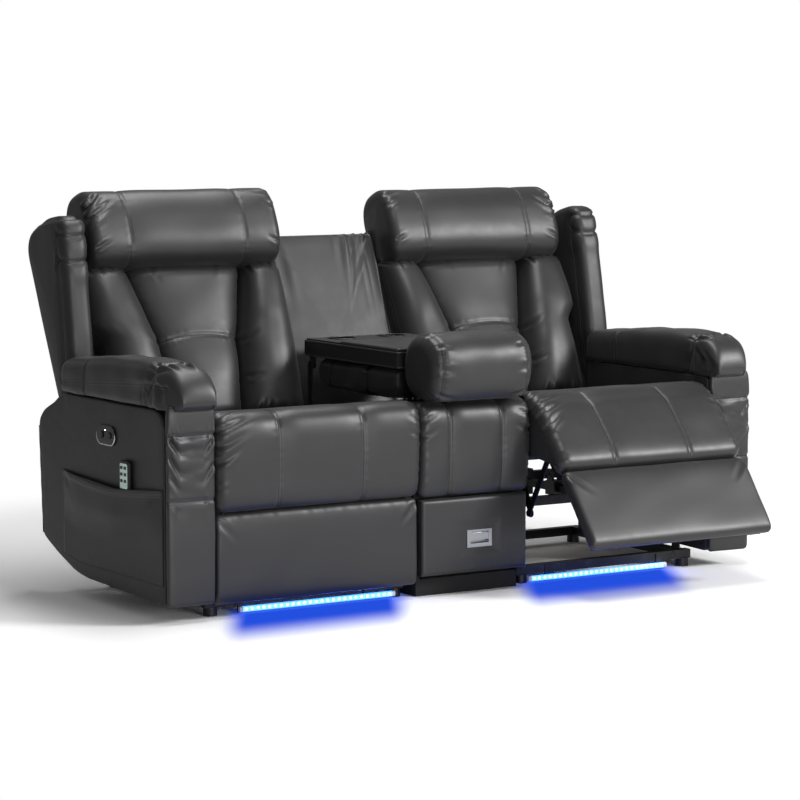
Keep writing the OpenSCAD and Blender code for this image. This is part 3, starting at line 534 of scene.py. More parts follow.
@dataclass(frozen=True)
class PowderCoat(Finish):
    """Powder-coated steel: baked orange peel of about 1 mm, satin, with faint handling scuffs."""

    scuff: str = "#303134"
    peel_mm: float = 1.1

    def material(self) -> bpy.types.Material:
        """Build the coat's nodes."""
        mat, tree, shader = self.start()
        place = add_node(tree, "ShaderNodeTexCoord").outputs["Object"]
        peel = noise(tree, self.peel_mm, place, {"Detail": 2.0})
        worn = noise(tree, 35.0, place, {"Detail": 6.0})
        rub = add_node(
            tree, "ShaderNodeMapRange", {"From Min": 0.55, "From Max": 0.8}, {"Value": worn}
        ).outputs[0]
        tree.links.new(self.blend(tree, rub, self.colour, self.scuff), shader.inputs["Base Color"])
        self.emboss(tree, shader, (peel, 0.2, 0.15))
        return mat


@dataclass(frozen=True)
class Brushed(Finish):
    """Brushed plate: fine scratches along X, about 0.5 mm apart, which break up its highlights."""

    pitch_mm: float = 0.5
    along: tuple[float, float, float] = (0.04, 1.0, 1.0)

    def material(self) -> bpy.types.Material:
        """Build the brushed metal's nodes."""
        mat, tree, shader = self.start()
        place = add_node(tree, "ShaderNodeTexCoord").outputs["Object"]
        stretch = add_node(tree, "ShaderNodeMapping", {"Scale": self.along}, {"Vector": place})
        lines = noise(tree, self.pitch_mm, stretch.outputs[0], {"Detail": 2.0})
        self.polish(tree, shader, lines, 0.08, 0.1)
        self.emboss(tree, shader, (lines, 0.15, 0.05))
        return mat


@dataclass(frozen=True)
class Board(Finish):
    """Birch plywood: pale face veneer with long grain 6 mm wide and darker pores."""

    dark: str = "#8a683f"

    def material(self) -> bpy.types.Material:
        """Build the veneer's nodes."""
        mat, tree, shader = self.start()
        place = add_node(tree, "ShaderNodeTexCoord").outputs["Object"]
        stretch = add_node(tree, "ShaderNodeMapping", {"Scale": (0.06, 1.0, 1.0)}, {"Vector": place})
        grain = noise(tree, 6.0, stretch.outputs[0], {"Detail": 7.0, "Distortion": 0.6})
        tree.links.new(self.blend(tree, grain, self.dark, self.colour), shader.inputs["Base Color"])
        self.emboss(tree, shader, (grain, 0.15, 0.3))
        return mat


@dataclass(frozen=True)
class Moulded(Finish):
    """Injection-moulded ABS: spark-eroded texture of 0.6 mm, a little uneven in its gloss."""

    grain_mm: float = 0.6
    second: str = "#1c1c1e"
    depth: float = 0.15

    def material(self) -> bpy.types.Material:
        """Build the plastic's nodes."""
        mat, tree, shader = self.start()
        place = add_node(tree, "ShaderNodeTexCoord").outputs["Object"]
        grit = noise(tree, self.grain_mm, place, {"Detail": 3.0})
        cloud = noise(tree, 30.0, place, {"Detail": 2.0})
        tree.links.new(self.blend(tree, cloud, self.colour, self.second), shader.inputs["Base Color"])
        self.emboss(tree, shader, (grit, self.depth, 0.1))
        return mat


@dataclass(frozen=True)
class Lining(Finish):
    """Board under black woven lining cloth: threads 1.2 mm apart both ways, dull."""

    pitch_mm: float = 1.2
    light: str = "#1d1d1f"

    def material(self) -> bpy.types.Material:
        """Build the cloth's nodes: two wave patterns multiplied make the weave."""
        mat, tree, shader = self.start()
        place = add_node(tree, "ShaderNodeTexCoord").outputs["Object"]
        wefts = [
            add_node(
                tree, "ShaderNodeTexWave",
                {
                    "wave_type": "BANDS", "bands_direction": axis,
                    "Scale": 1.0 / (self.pitch_mm * MM * 20.0) * 6.28,
                },
                {"Vector": place},
            ).outputs["Fac"]
            for axis in ("X", "Z")
        ]
        weave = calc(tree, "MULTIPLY", *wefts)
        tree.links.new(self.blend(tree, weave, self.colour, self.light), shader.inputs["Base Color"])
        self.emboss(tree, shader, (weave, 0.3, 0.3))
        return mat


@dataclass(frozen=True)
class Glow(Finish):
    """Lit plastic: a clear sleeve or lens that shines evenly, with a faint mottle from its dots."""

    strength: float = 4.0
    emitted: str = "#2a5cff"

    def material(self) -> bpy.types.Material:
        """Build the lit plastic's nodes."""
        mat, tree, shader = self.start()
        shader.inputs["Emission Color"].default_value = srgb(self.emitted)
        shader.inputs["Emission Strength"].default_value = self.strength
        place = add_node(tree, "ShaderNodeTexCoord").outputs["Object"]
        mottle = noise(tree, 9.0, place)
        tree.links.new(self.blend(tree, mottle, self.colour, "#ffffff"), shader.inputs["Base Color"])
        return mat


class Wardrobe:
    """Every finish of the sofa, each made once."""

    def __init__(self) -> None:
        """Build the materials."""
        self.leather = Leather("PU leather seat hide", "#1e1e1f", 0.42).material()
        # Painted shade, in part: the outer panels have their own hide, set darker than the seat leather to
        # stand for the shade on the side and rear panels.
        self.panel = Leather("PU leather outer hide", "#161617", 0.46, light="#1b1b1c").material()
        self.steel = PowderCoat("Powder-coated steel", "#0d0d0e", 0.42).material()
        self.chrome = Brushed("Brushed chrome plate", "#a2a4a8", 0.34, 1.0).material()
        self.silver = Brushed("Satin chromed ABS rim", "#d8dadd", 0.22, 1.0).material()
        self.zinc = Brushed("Zinc-plated steel runner", "#8e9194", 0.38, 1.0).material()
        self.plywood = Board("Birch plywood", "#c9a877", 0.62).material()
        self.carcass = Lining("Lined board", "#0c0c0d", 0.85).material()
        self.motor = Moulded("Moulded ABS housing", "#101011", 0.5).material()
        self.gloss = Moulded("Gloss ABS switch plate", "#08080a", 0.18, depth=0.03).material()
        self.button = Moulded("Satin ABS button", "#1b1b1d", 0.38, second="#262629").material()
        self.handset = Moulded("Handset ABS", "#121516", 0.42).material()
        # Painted light: the handset's face film glows faintly, though it holds no lamp.
        self.screen = Glow("Handset face film", "#8fb5a4", 0.3, strength=0.15, emitted="#7fb09c").material()
        self.sleeve = Glow("Lit silicone sleeve", "#62a8ff", 0.35, strength=3.0, emitted="#2f7dff").material()
        self.dots = Glow("Light emitting diodes", "#e8fbff", 0.3, strength=14.0, emitted="#a8e6ff").material()
        self.cap = Moulded("White end cap", "#d9dbe2", 0.4, second="#c9ccd6").material()
        self.lead = Moulded("PVC lead", "#101012", 0.45).material()

    def dress_nodes(self) -> None:
        """Give each CAD node that stays in view its better material."""
        by_slot = {
            Slot.LEATHER: self.leather, Slot.PANEL: self.panel, Slot.STEEL: self.steel,
            Slot.PLYWOOD: self.plywood,
            Slot.CARCASS: self.carcass, Slot.MOTOR: self.motor, Slot.SWITCH: self.gloss,
            Slot.BUTTON: self.button,
            Slot.LIGHT: self.sleeve, Slot.LEAD: self.lead, Slot.HANDSET: self.handset,
            Slot.CHROME: self.chrome,
            Slot.RUNNER: self.zinc,
        }
        slots = {s["node"]: s["material_slot"] for s in frame["record"]["subparts"]}
        for name, obj in frame["nodes"].items():
            material = self.carcass if name.endswith("footrest_board") else by_slot[Slot(slots[name])]
            if obj.data.materials:
                for k in range(len(obj.data.materials)):
                    obj.data.materials[k] = material
            else:
                obj.data.materials.append(material)


def crease(
    u: np.ndarray, v: np.ndarray, start: tuple[
        float, float
    ], stop: tuple[float, float], depth: float, width: float
) -> np.ndarray:
    """Fold that is deepest at its start and fades to its stop.

    With t along and d across the line, the height is fade(t) times a narrow bell trough and the two
    low swells beside it.

    Args:
        u: First surface coordinate in millimetres.
        v: Second surface coordinate.
        start: Deep end.
        stop: Faded end.
        depth: Depth at the deep end.
        width: Half width of the trough.

    Returns:
        Heights to push the surface by.
    """
    ax, ay = start
    bx, by = stop[0] - ax, stop[1] - ay
    length = math.hypot(bx, by)
    t = ((u - ax) * bx + (v - ay) * by) / length**2
    d = ((u - ax) * by - (v - ay) * bx) / length
    fade = smooth(1.0 + t * 7.0) * smooth((1.0 - t) * 1.15)
    return fade * depth * (0.5 * bell(np.abs(d) - 2.0 * width, width) - bell(d, width))


def rumple(pts: np.ndarray, pitch: float, seed: int) -> np.ndarray:
    """Soft unevenness of stuffed leather, from -1 to 1: twelve plane waves of mixed direction and length."""
    rng = np.random.default_rng(seed)
    total = np.zeros(pts.shape[:-1])
    for _ in range(12):
        way = rng.normal(size=3)
        way *= 2.0 * math.pi / (pitch * (0.6 + 0.9 * rng.random())) / np.linalg.norm(way)
        total += np.sin(pts @ way + rng.random() * 6.28)
    return total / 4.5


def section_normals(section: np.ndarray) -> np.ndarray:
    """Outward unit normals of a closed outline: its tangent turned a quarter, by the sign of its area."""
    step = np.roll(section, -1, axis=0) - np.roll(section, 1, axis=0)
    n = np.stack([step[:, 1], -step[:, 0]], axis=-1)
    n /= np.maximum(np.linalg.norm(n, axis=1, keepdims=True), 1e-9)
    after = np.roll(section, -1, axis=0)
    area = np.sum(section[:, 0] * after[:, 1] - after[:, 0] * section[:, 1])
    return n if area > 0.0 else -n


def soft_outline(points: Sequence[Sequence[float]], count: int, soften: int = 2) -> np.ndarray:
    """Polygon in even steps along its sides, whose corners are rounded by averaging each point's neighbours.

    Args:
        points: Corners in order.
        count: Number of points to return.
        soften: Averaging passes.

    Returns:
        Array of count points.
    """
    p = np.asarray(points, float)
    loop = np.vstack([p, p[:1]])
    run = np.concatenate([[0.0], np.cumsum(np.linalg.norm(np.diff(loop, axis=0), axis=1))])
    at = np.linspace(0.0, run[-1], count, endpoint=False)
    q = np.stack([np.interp(at, run, loop[:, k]) for k in range(2)], axis=-1)
    for _ in range(soften):
        q = (np.roll(q, 1, axis=0) + 2.0 * q + np.roll(q, -1, axis=0)) / 4.0
    return q


def carried(
    section: np.ndarray, half: float, rounding: float, inner: int, steps: int = 7
) -> tuple[np.ndarray, np.ndarray]:
    """Carry an outline along X, drawn in over a quarter circle at both ends.

    At x = half - r + r sin(w) the outline moves inwards along its normals by r (1 - cos(w)).

    Args:
        section: Closed outline in Y and Z.
        half: Half the length.
        rounding: Radius r of the ends.
        inner: Stations between the roundings.
        steps: Stations over each rounding.

    Returns:
        Points as rows along X by columns round the outline, and the X of each row.
    """
    w = np.linspace(0.0, math.pi / 2.0, steps)
    out = half - rounding + rounding * np.sin(w)
    inset = rounding * (1.0 - np.cos(w))
    x = np.concatenate([-out[::-1], np.linspace(-(half - rounding), half - rounding, inner)[1:-1], out])
    draw = np.concatenate([inset[::-1], np.zeros(inner - 2), inset])
    yz = section[None, :, :] - section_normals(section)[None, :, :] * draw[:, None, None]
    pts = np.concatenate([np.broadcast_to(x[:, None, None], yz.shape[:2] + (1,)), yz], axis=-1)
    return pts, x


def slab(
    outline: np.ndarray,
    core: tuple[float, float],
    low: float,
    high: float,
    radius: float,
    puff: tuple[float, float] = (0.0, 0.0),
) -> Skin:
    """Board or pad with a flat outline, quarter-round edges and faces that may swell.

    Rings run from the middle of the low face to its edge, over the edge by r (1 - sin w) inwards and
    r (1 - cos w) along, up the side, and back over the high face; a face swells by puff (1 - s²).

    Args:
        outline: Closed outline that every ray from core leaves once.
        core: Middle that the faces' rings shrink to.
        low: Depth of the low face.
        high: Depth of the high face.
        radius: Radius of the edges.
        puff: Swell of the low and of the high face.

    Returns:
        Skin whose points are outline coordinate, outline coordinate, depth.
    """
    n = section_normals(outline)
    mid = np.asarray(core, float)
    scales = np.array([0.02, 0.14, 0.28, 0.42, 0.56, 0.7, 0.82, 0.92])
    w = np.linspace(0.0, math.pi / 2.0, 6)
    inset = np.concatenate([np.full(8, radius), radius * (1.0 - np.sin(w)), [0.0, 0.0]])
    scale = np.concatenate([scales, np.ones(8)])
    depth = np.concatenate([-puff[0] * (1.0 - scales**2), radius * (1.0 - np.cos(w)), [0.0, 0.0]])
    rise = np.array([0.34, 0.67])
    span = high - low - 2.0 * radius
    depth[-2:] = radius + rise * span
    back = 14
    inset = np.concatenate([inset, inset[:back][::-1]])
    scale = np.concatenate([scale, scale[:back][::-1]])
    far = np.concatenate([-puff[1] * (1.0 - scales**2), radius * (1.0 - np.cos(w))])
    depth = np.concatenate([low + depth, high - far[::-1]])
    ring = outline[None] - n[None] * inset[:, None, None] - mid
    flat = mid + ring * scale[:, None, None]
    return Skin(np.concatenate([flat, np.broadcast_to(depth[:, None, None], flat.shape[:2] + (1,))], axis=-1))


@dataclass
class Seat:
    """Wide seat: one cover over cushion and hinged flap, the footrest pad below it, and a black strip of
    painted shade between.
    """

    side: Side
    wear: Wardrobe
    seam: float = 127.0
    swell: float = 5.0
    dip: float = 4.0
    end_round: float = 27.0
    fold_start: tuple = (-352.0, 518.0)
    fold_stop: tuple = (-402.0, 455.0)
    cover: tuple = (
        (127, 465), (98, 470), (0, 484), (-150, 503), (-280, 518), (-350, 524), (-385, 521), (-405, 504),
        (-415, 470),
        (-417, 420), (-416, 370), (-413, 312), (-405, 287), (-387, 276), (-363, 278), (-352, 298),
        (-350, 400),
        (-350, 480), (-349, 496), (-338, 498), (-280, 440), (-240, 421), (0, 420), (96, 420), (121, 423),
        (133, 434),
        (134, 450),
    )
    pad: tuple = (
        (-1, -237), (-7, -251), (-10, -284), (-10, -350), (-9, -430), (-4, -457), (7, -465), (19, -463),
        (25.5, -450),
        (25.5, -350), (25.5, -262), (18, -238), (8, -233),
    )

    @property
    def sign(self) -> int:
        """Direction of the outer side along X."""
        return self.side.value

    def place(self, pts: np.ndarray) -> np.ndarray:
        """Move local points, whose X grows outwards, to this seat."""
        out = pts.copy()
        out[..., 0] = self.sign * (SEAT_CX + pts[..., 0])
        return out

    def gathers(self, x: np.ndarray, s: np.ndarray, face: np.ndarray) -> np.ndarray:
        """Folds where the cover is sewn at its ends: small puckers, and slanting pulls at the front roll."""
        world = x * self.sign
        end = PAD_HALF - np.abs(x)
        h = 1.6 * ripple(s + 40.0 * self.sign, 21.0, 5 + self.sign) * bell(end - 8.0, 16.0) * face
        for k, (s0, length) in enumerate(((18.0, 92.0), (-22.0, 120.0), (-62.0, 104.0), (-104.0, 70.0))):
            h += face * crease(world, s, (-PAD_HALF + 6.0, s0), (-PAD_HALF + length, s0 + 40.0), 5.5, 6.0)
            if k < 3:
                h += face * crease(
                    world, s, (PAD_HALF - 6.0, s0 - 6.0), (PAD_HALF - 52.0, s0 + 12.0), 3.6, 5.0
                )
        return h

    def cover_piece(self) -> bpy.types.Object:
        """Cover of the cushion and its flap, which follows both across the hinge."""
        section = closed_curve(self.cover, 250)
        normal = section_normals(section)
        pts, x = carried(section, PAD_HALF, self.end_round, 104)
        skin = Skin(pts)
        face = smooth((np.maximum(normal[:, 1], -normal[:, 0]) - 0.15) / 0.5)
        face = np.broadcast_to(face, pts.shape[:2]).copy()
        # The run is 0 at the front roll, positive back over the top and negative down the front
        length = np.linalg.norm(np.roll(section, -1, axis=0) - section, axis=1)
        roll = np.argmin(np.linalg.norm(section - np.array([-405.0, 504.0]), axis=1))
        run = np.cumsum(length) - np.cumsum(length)[roll]
        run = np.broadcast_to(-run, pts.shape[:2])
        xx = np.broadcast_to(x[:, None], pts.shape[:2])
        d = np.abs(xx) - self.seam
        h = face * (
            self.swell * (1.0 - bell(d, 34.0)) * (0.45 + 0.55 * bell(run, 150.0)) - self.dip * bell(d, 5.0)
        )
        h += 0.9 * face * ripple(run, 17.0, 31) * bell(np.abs(d) - 9.0, 7.0)
        h += self.gathers(xx, run, face)
        h += 1.0 * face * rumple(pts, 170.0, 7 + self.sign)
        skin.push(h)
        skin.sew(np.where(face > 0.4, d, FAR), run)
        if self.side is Side.RIGHT:
            start, stop = np.array(self.fold_start), np.array(self.fold_stop)
            yz = skin.pts[..., 1:]
            t = (yz - start) @ (stop - start) / np.sum((stop - start) ** 2)
            share = smooth(t) * smooth((-260.0 - yz[..., 0]) / 60.0)
            skin.pts[..., 1:] = HINGE + turn(yz - HINGE, RIGHT_OPEN * share)
        skin.pts = self.place(skin.pts)
        obj = Maker.skin(f"{self.side.word}_seat_cover", skin)
        nodes = (f"{self.side.word}_seat_cushion", f"{self.side.word}_flap_pad")
        Maker.finish(obj, "", Slot.LEATHER, self.wear.leather, nodes, 0.6)
        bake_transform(obj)
        return obj

    def pad_piece(self) -> bpy.types.Object:
        """Plain pad on the footrest board."""
        section = closed_curve(self.pad, 130)
        pts, x = carried(section, PAD_HALF - 1.0, 11.0, 84)
        front = smooth((-section_normals(section)[:, 0] - 0.2) / 0.5)[None, :]
        xx = np.broadcast_to(x[:, None], pts.shape[:2])
        zz = pts[..., 2]
        h = front * (2.5 * (1.0 - (xx / PAD_HALF) ** 4) + 0.9 * rumple(pts, 170.0, 3 + self.sign))
        top = bell(zz + 240.0, 26.0)
        h += front * (0.5 * ripple(xx, 30.0, 9 + self.sign) * top)
        for x0 in (-296.0, 292.0):
            h += front * crease(xx * self.sign, zz, (x0, -250.0), (x0 * 0.78, -320.0), 3.0, 7.0)
        skin = Skin(pts).push(h)
        if self.side is Side.LEFT:
            skin.pts[..., 1:] = HINGE + skin.pts[..., 1:]
        else:
            p = skin.pts[..., 1:] - BOARD_PIN
            skin.pts[..., 1:] = HINGE + turn(BOARD_PIN, RIGHT_OPEN) + turn(p, RIGHT_BOARD)
        skin.pts = self.place(skin.pts)
        obj = Maker.skin(f"{self.side.word}_footrest_cover", skin)
        word = self.side.word
        return Maker.finish(
            obj, f"{word}_footrest", Slot.LEATHER, self.wear.leather, (f"{word}_footrest_pad",), 0.7
        )

    def hinge_strip(self) -> bpy.types.Object:
        """Black sheet in the gap between the flap's cover and the footrest's, folded at their pivot: painted
        shade standing in for the shadowed gap.
        """
        d = np.linspace(-22.0, 22.0, 23)
        yz = np.concatenate(
            [np.stack([15.0 + 0 * d, -233.0 + d], axis=-1), np.stack([17.0 + 0 * d, -233.0 - d], axis=-1)]
        )
        x = np.linspace(-PAD_HALF + 8.0, PAD_HALF - 8.0, 24)
        if self.side is Side.RIGHT:
            share = smooth((12.0 - (yz[:, 1] + 233.0)) / 24.0)[:, None]
            flap = turn(yz, RIGHT_OPEN)
            board = turn(BOARD_PIN, RIGHT_OPEN) + turn(yz - BOARD_PIN, RIGHT_BOARD)
            yz = flap * (1.0 - share) + board * share
        rows = np.broadcast_to(HINGE + yz, (len(x),) + yz.shape)
        pts = np.concatenate([np.broadcast_to(x[:, None, None], rows.shape[:2] + (1,)), rows], axis=-1)
        word = self.side.word
        obj = Maker.skin(f"{word}_hinge_strip", Skin(self.place(pts)))
        # Painted shade: black lining put where the gap between flap and footrest shows only shade.
        Maker.finish(obj, "", Slot.CARCASS, self.wear.carcass)
        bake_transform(obj)
        return obj

    def build(self) -> None:
        """Make the seat's pieces."""
        self.cover_piece()
        self.pad_piece()
        self.hinge_strip()


@dataclass
class Back:
    """Reclining back: headrest roll, middle panel and two bolsters, side wing and outer cover.

    Local points are x outwards from the seat's middle, y to the rear and a up the slope from the pivot.
    """

    side: Side
    wear: Wardrobe
    head_seam: float = 178.0
    head_half: float = 296.0
    head_out: float = 7.5
    board_y: float = 14.7
    board_top: float = 681.0
    low: float = 106.0
    high: float = 566.0

    def place(self, skin: Skin) -> Skin:
        """Lean local points back about the pivot and move them to this seat."""
        pts = skin.pts
        yz = BACK_PIN + turn(pts[..., 1:], LEANS[self.side])
        x = self.side.value * (SEAT_CX + pts[..., 0])
        skin.pts = np.concatenate([x[..., None], yz], axis=-1)
        return skin

    def body(self) -> str:
        """Name of the body that all of it rides on."""
        return f"{self.side.word}_back"

    def headrest(self) -> bpy.types.Object:
        """Roll with two seams, drawn in at the ends, with pleats at its top corners."""
        t = circle(132)
        section = np.stack(
            [-28.0 + 80.0 * squared(np.cos(t), 0.74), 664.0 + 111.0 * squared(np.sin(t), 0.78)], axis=-1
        )
        pts, x = carried(section, self.head_half, 26.0, 96, 9)
        xx = np.broadcast_to(x[:, None], pts.shape[:2])
        a = pts[..., 2]
        front = smooth((-section_normals(section)[:, 0] + 0.55) / 0.5)[None, :]
        d = np.abs(xx) - self.head_seam
        h = front * (1.5 * (1.0 - bell(d, 30.0)) - 2.6 * bell(d, 4.0))
        h += 0.6 * front * ripple(a, 17.0, 41 + self.side.value) * bell(np.abs(d) - 8.0, 6.0)
        for start, stop, depth in (
            ((292.0, 712.0), (236.0, 768.0), 10.0), ((288.0, 684.0), (206.0, 734.0), 9.0),
            ((282.0, 664.0), (240.0, 680.0), 4.5), ((-280.0, 742.0), (-226.0, 752.0), 4.5),
            ((-284.0, 706.0), (-246.0, 724.0), 4.0), ((280.0, 596.0), (232.0, 620.0), 4.0),
            ((-280.0, 600.0), (-240.0, 618.0), 3.5),
        ):
            h += front * crease(xx, a, start, stop, depth, 5.0)
        h += 0.9 * front * rumple(pts, 190.0, 21 + self.side.value)
        skin = Skin(pts).push(h)
        below = skin.pts[..., 2] < self.board_top
        skin.pts[..., 1] = np.where(below, np.minimum(skin.pts[..., 1], self.board_y), skin.pts[..., 1])
        skin.pts[..., 0] += self.head_out
        skin.sew(np.where(front > 0.5, d, FAR), a)
        obj = Maker.skin(f"{self.side.word}_headrest_roll", self.place(skin))
        return Maker.finish(
            obj, self.body(), Slot.LEATHER, self.wear.leather, (f"{self.side.word}_headrest",), 0.75
        )

    def upright(
        self,
        inner: Callable,
        outer: Callable,
        depth: Callable,
        round_x: float,
        round_y: float,
        rows: int,
        cols: int,
    ) -> tuple[np.ndarray, np.ndarray, np.ndarray]:
        """Cushion standing on the board: x = c + r cos^p(t), y = board - D sin^q(t) on the front half.

        D falls to 0.34 of itself over the last tenth of the height at both ends, by sqrt(1 - e^2.2).

        Args:
            inner: X of the inner edge at each height.
            outer: X of the outer edge at each height.
            depth: Depth in front of the board at each height.
            round_x: Power p.
            round_y: Power q.
            rows: Stations up the slope.
            cols: Points round each station.

        Returns:
            Points, the height of each row and the angle of each column.
        """
        f = -np.cos(np.linspace(0.0, math.pi, rows))
        a = (self.low + self.high) / 2.0 + f * (self.high - self.low) / 2.0
        end = np.clip((np.abs(f) - 0.8) / 0.2, 0.0, 1.0)
        full = 0.34 + 0.66 * np.sqrt(np.maximum(0.0, 1.0 - end**2.2))
        t = circle(cols)
        c = (inner(a) + outer(a)) / 2.0
        r = (outer(a) - inner(a)) / 2.0 * (0.9 + 0.1 * full)
        x = c[:, None] + r[:, None] * squared(np.cos(t), round_x)[None, :]
        y = self.board_y - (depth(a) * full)[:, None] * np.maximum(0.0, squared(np.sin(t), round_y))[None, :]
        back = np.minimum(0.0, np.sin(t))[None, :] * -0.4
        pts = np.stack([x, y - back, np.broadcast_to(a[:, None], x.shape)], axis=-1)
        return pts, a, t

    def panel_half(self, a: np.ndarray) -> np.ndarray:
        """Half width of the tapered middle panel, as in the part's source."""
        return 95.0 + np.maximum(0.0, a - 120.0) * 0.14 + np.maximum(0.0, a - 343.0) * 0.117

    def outer_edge(self, a: np.ndarray) -> np.ndarray:
        """Outer edge of the outer bolster: narrow beside the arm pad, wide above it."""
        return 297.0 + 34.0 * smooth((a - 338.0) / 62.0)

    def middle_panel(self) -> bpy.types.Object:
        """Two puffed panels, one over the other, joined by an arched double seam."""
        pts, a, t = self.upright(
            lambda v: -self.panel_half(v), self.panel_half, lambda v: 62.0 + 8.0 * bell(v - 240.0, 150.0),
            0.66, 0.62, 150, 120,
        )
        aa = np.broadcast_to(a[:, None], pts.shape[:2])
        front = np.broadcast_to(smooth(np.sin(t) * 3.0)[None, :], pts.shape[:2])
        arch = 352.0 - 14.0 * (pts[..., 0] / 126.0) ** 2
        d = aa - arch
        h = front * (3.0 * (1.0 - bell(d, 46.0)) - 3.6 * bell(d, 4.5))
        h += front * 0.9 * ripple(pts[..., 0], 17.0, 51 + self.side.value) * bell(np.abs(d) - 9.0, 7.0)
        edge = self.panel_half(aa) - np.abs(pts[..., 0])
        h += front * 0.8 * ripple(aa, 30.0, 57 + self.side.value) * bell(edge - 8.0, 12.0)
        for k, (a0, u0) in enumerate(((548.0, -90.0), (546.0, 110.0))):
            h += front * crease(pts[..., 0], aa, (u0, a0 + 8.0), (u0 * 0.8, a0 - 40.0 - 9.0 * k), 2.6, 6.0)
        h += 1.0 * front * rumple(pts, 150.0, 61 + self.side.value)
        skin = Skin(pts).push(h)
        skin.pts[..., 1] = np.minimum(skin.pts[..., 1], self.board_y + 0.2)
        skin.sew(np.where(front > 0.5, d, FAR), pts[..., 0])
        obj = Maker.skin(f"{self.side.word}_back_panel", self.place(skin))
        return Maker.finish(
            obj, self.body(), Slot.LEATHER, self.wear.leather, (f"{self.side.word}_back_cushion",), 0.6
        )

    def bolster(self, outer: bool) -> bpy.types.Object:
        """Full side bolster beside the middle panel, pleated at its top and pulled in at its foot."""
        if outer:
            edges = (lambda v: self.panel_half(v) + 1.0, self.outer_edge)
        else:
            edges = (lambda v: -303.0 + 0.0 * v, lambda v: -self.panel_half(v) - 1.0)
        tall = 104.0 if outer else 100.0
        pts, a, t = self.upright(
            *edges, lambda v: tall - 26.0 * np.abs((v - 330.0) / 230.0) ** 2.0, 0.74, 0.86, 150, 110
        )
        aa = np.broadcast_to(a[:, None], pts.shape[:2])
        u = pts[..., 0] - ((edges[0](a) + edges[1](a)) / 2.0)[:, None]
        front = np.broadcast_to(smooth(np.sin(t) * 2.5)[None, :], pts.shape[:2])
        seed = 70 + 2 * self.side.value + (5 if outer else 0)
        h = np.zeros_like(u)
        for k, u0 in enumerate((-52.0, -18.0, 16.0, 50.0)):
            reach = 26.0 + 12.0 * ((k * 5 + seed) % 3)
            h += front * crease(u, aa, (u0, 562.0), (u0 * 0.8 + 3.0, 562.0 - reach), 4.0, 4.5)
        for k, u0 in enumerate((-50.0, -14.0, 26.0, 58.0)):
            reach = 26.0 + 14.0 * ((k * 7 + seed) % 3)
            h += front * crease(u, aa, (u0, 118.0), (u0 * 0.8, 118.0 + reach), 4.5, 6.0)
        for k, a0 in enumerate((330.0, 222.0)):
            inward = -1.0 if outer else 1.0
            h += front * crease(u, aa, (inward * 78.0, a0), (inward * 34.0, a0 + 26.0 - 14.0 * k), 3.2, 7.0)
        h += 1.5 * front * rumple(pts, 170.0, seed) + 0.4 * front * rumple(pts, 70.0, seed + 3)
        skin = Skin(pts).push(h)
        skin.pts[..., 1] = np.minimum(skin.pts[..., 1], self.board_y + 0.2)
        # One side seam along the outer face of each bolster
        line = np.degrees(t) - (22.0 if outer else 158.0)
        skin.sew(np.broadcast_to(line[None, :] * 1.3, u.shape), aa)
        name = f"{self.side.word}_{'outer' if outer else 'inner'}_bolster"
        obj = Maker.skin(name, self.place(skin))
        return Maker.finish(
            obj, self.body(), Slot.LEATHER, self.wear.leather, (f"{self.side.word}_back_cushion",), 0.65
        )

    def wing(self) -> bpy.types.Object:
        """Padded side wing with a seam along its front edge and pleats at its upper front."""
        outline = soft_outline(
            ((53, 118), (88, 626), (84, 656), (69, 681), (42, 697), (-8, 701), (-54, 699), (-118, 684),
             (-150, 660), (-150, 632), (-120, 500), (-84, 360), (-62, 290), (-32, 200), (8, 122)), 220, 5,
        )
        skin = slab(outline, (-30.0, 430.0), 337.0, 415.5, 24.0, (5.0, 6.0))
        skin.axes(2, 0, 1)
        x, y, a = np.moveaxis(skin.pts, -1, 0)
        edge = np.interp(a, [118, 200, 290, 360, 500, 632, 700], [8, -32, -62, -84, -120, -150, -60])
        near = y - edge
        h = np.zeros_like(a)
        tops = (676.0, 612.0, 544.0) if self.side is Side.LEFT else (640.0, 584.0)
        for a0 in tops:
            bow = a - a0 - 0.006 * (x - 376.0) ** 2 - 0.30 * near
            h += (2.6 * bell(bow + 32.0, 22.0) - 6.0 * bell(bow, 5.0)) * smooth((62.0 - near) / 30.0)
        h += 1.2 * rumple(skin.pts, 170.0, 81 + self.side.value)
        h -= 2.6 * bell(near - 34.0, 4.5) * (a < 660.0)
        skin.push(h)
        skin.sew(np.where(a < 670.0, near - 34.0, FAR), a)
        obj = Maker.skin(f"{self.side.word}_wing", self.place(skin))
        return Maker.finish(
            obj, self.body(), Slot.PANEL, self.wear.panel, (f"{self.side.word}_back_shell",), 0.5
        )

    def cover(self) -> bpy.types.Object:
        """Stretched outer cover of the back board, with rounded edges."""
        corners = (
            (-303.5, 41), (303.5, 41), (303.5, 118), (408, 118), (408, 640), (303.5, 680), (-303.5, 680),
        )
        outline = soft_outline(corners, 230, 3)
        skin = slab(outline, (20.0, 380.0), 15.2, 54.5, 9.0, (0.0, 3.0))
        skin.axes(0, 2, 1)
        x, y, a = np.moveaxis(skin.pts, -1, 0)
        rear = smooth((y - 45.0) / 8.0)
        skin.push(
            rear * (1.2 * rumple(skin.pts, 190.0, 91 + self.side.value) - 2.0 * bell(np.abs(x) - 250.0, 4.0))
        )
        skin.sew(np.where(rear > 0.5, np.abs(x) - 250.0, FAR), a)
        obj = Maker.skin(f"{self.side.word}_back_cover", self.place(skin))
        return Maker.finish(
            obj, self.body(), Slot.PANEL, self.wear.panel, (f"{self.side.word}_back_shell",), 0.2
        )

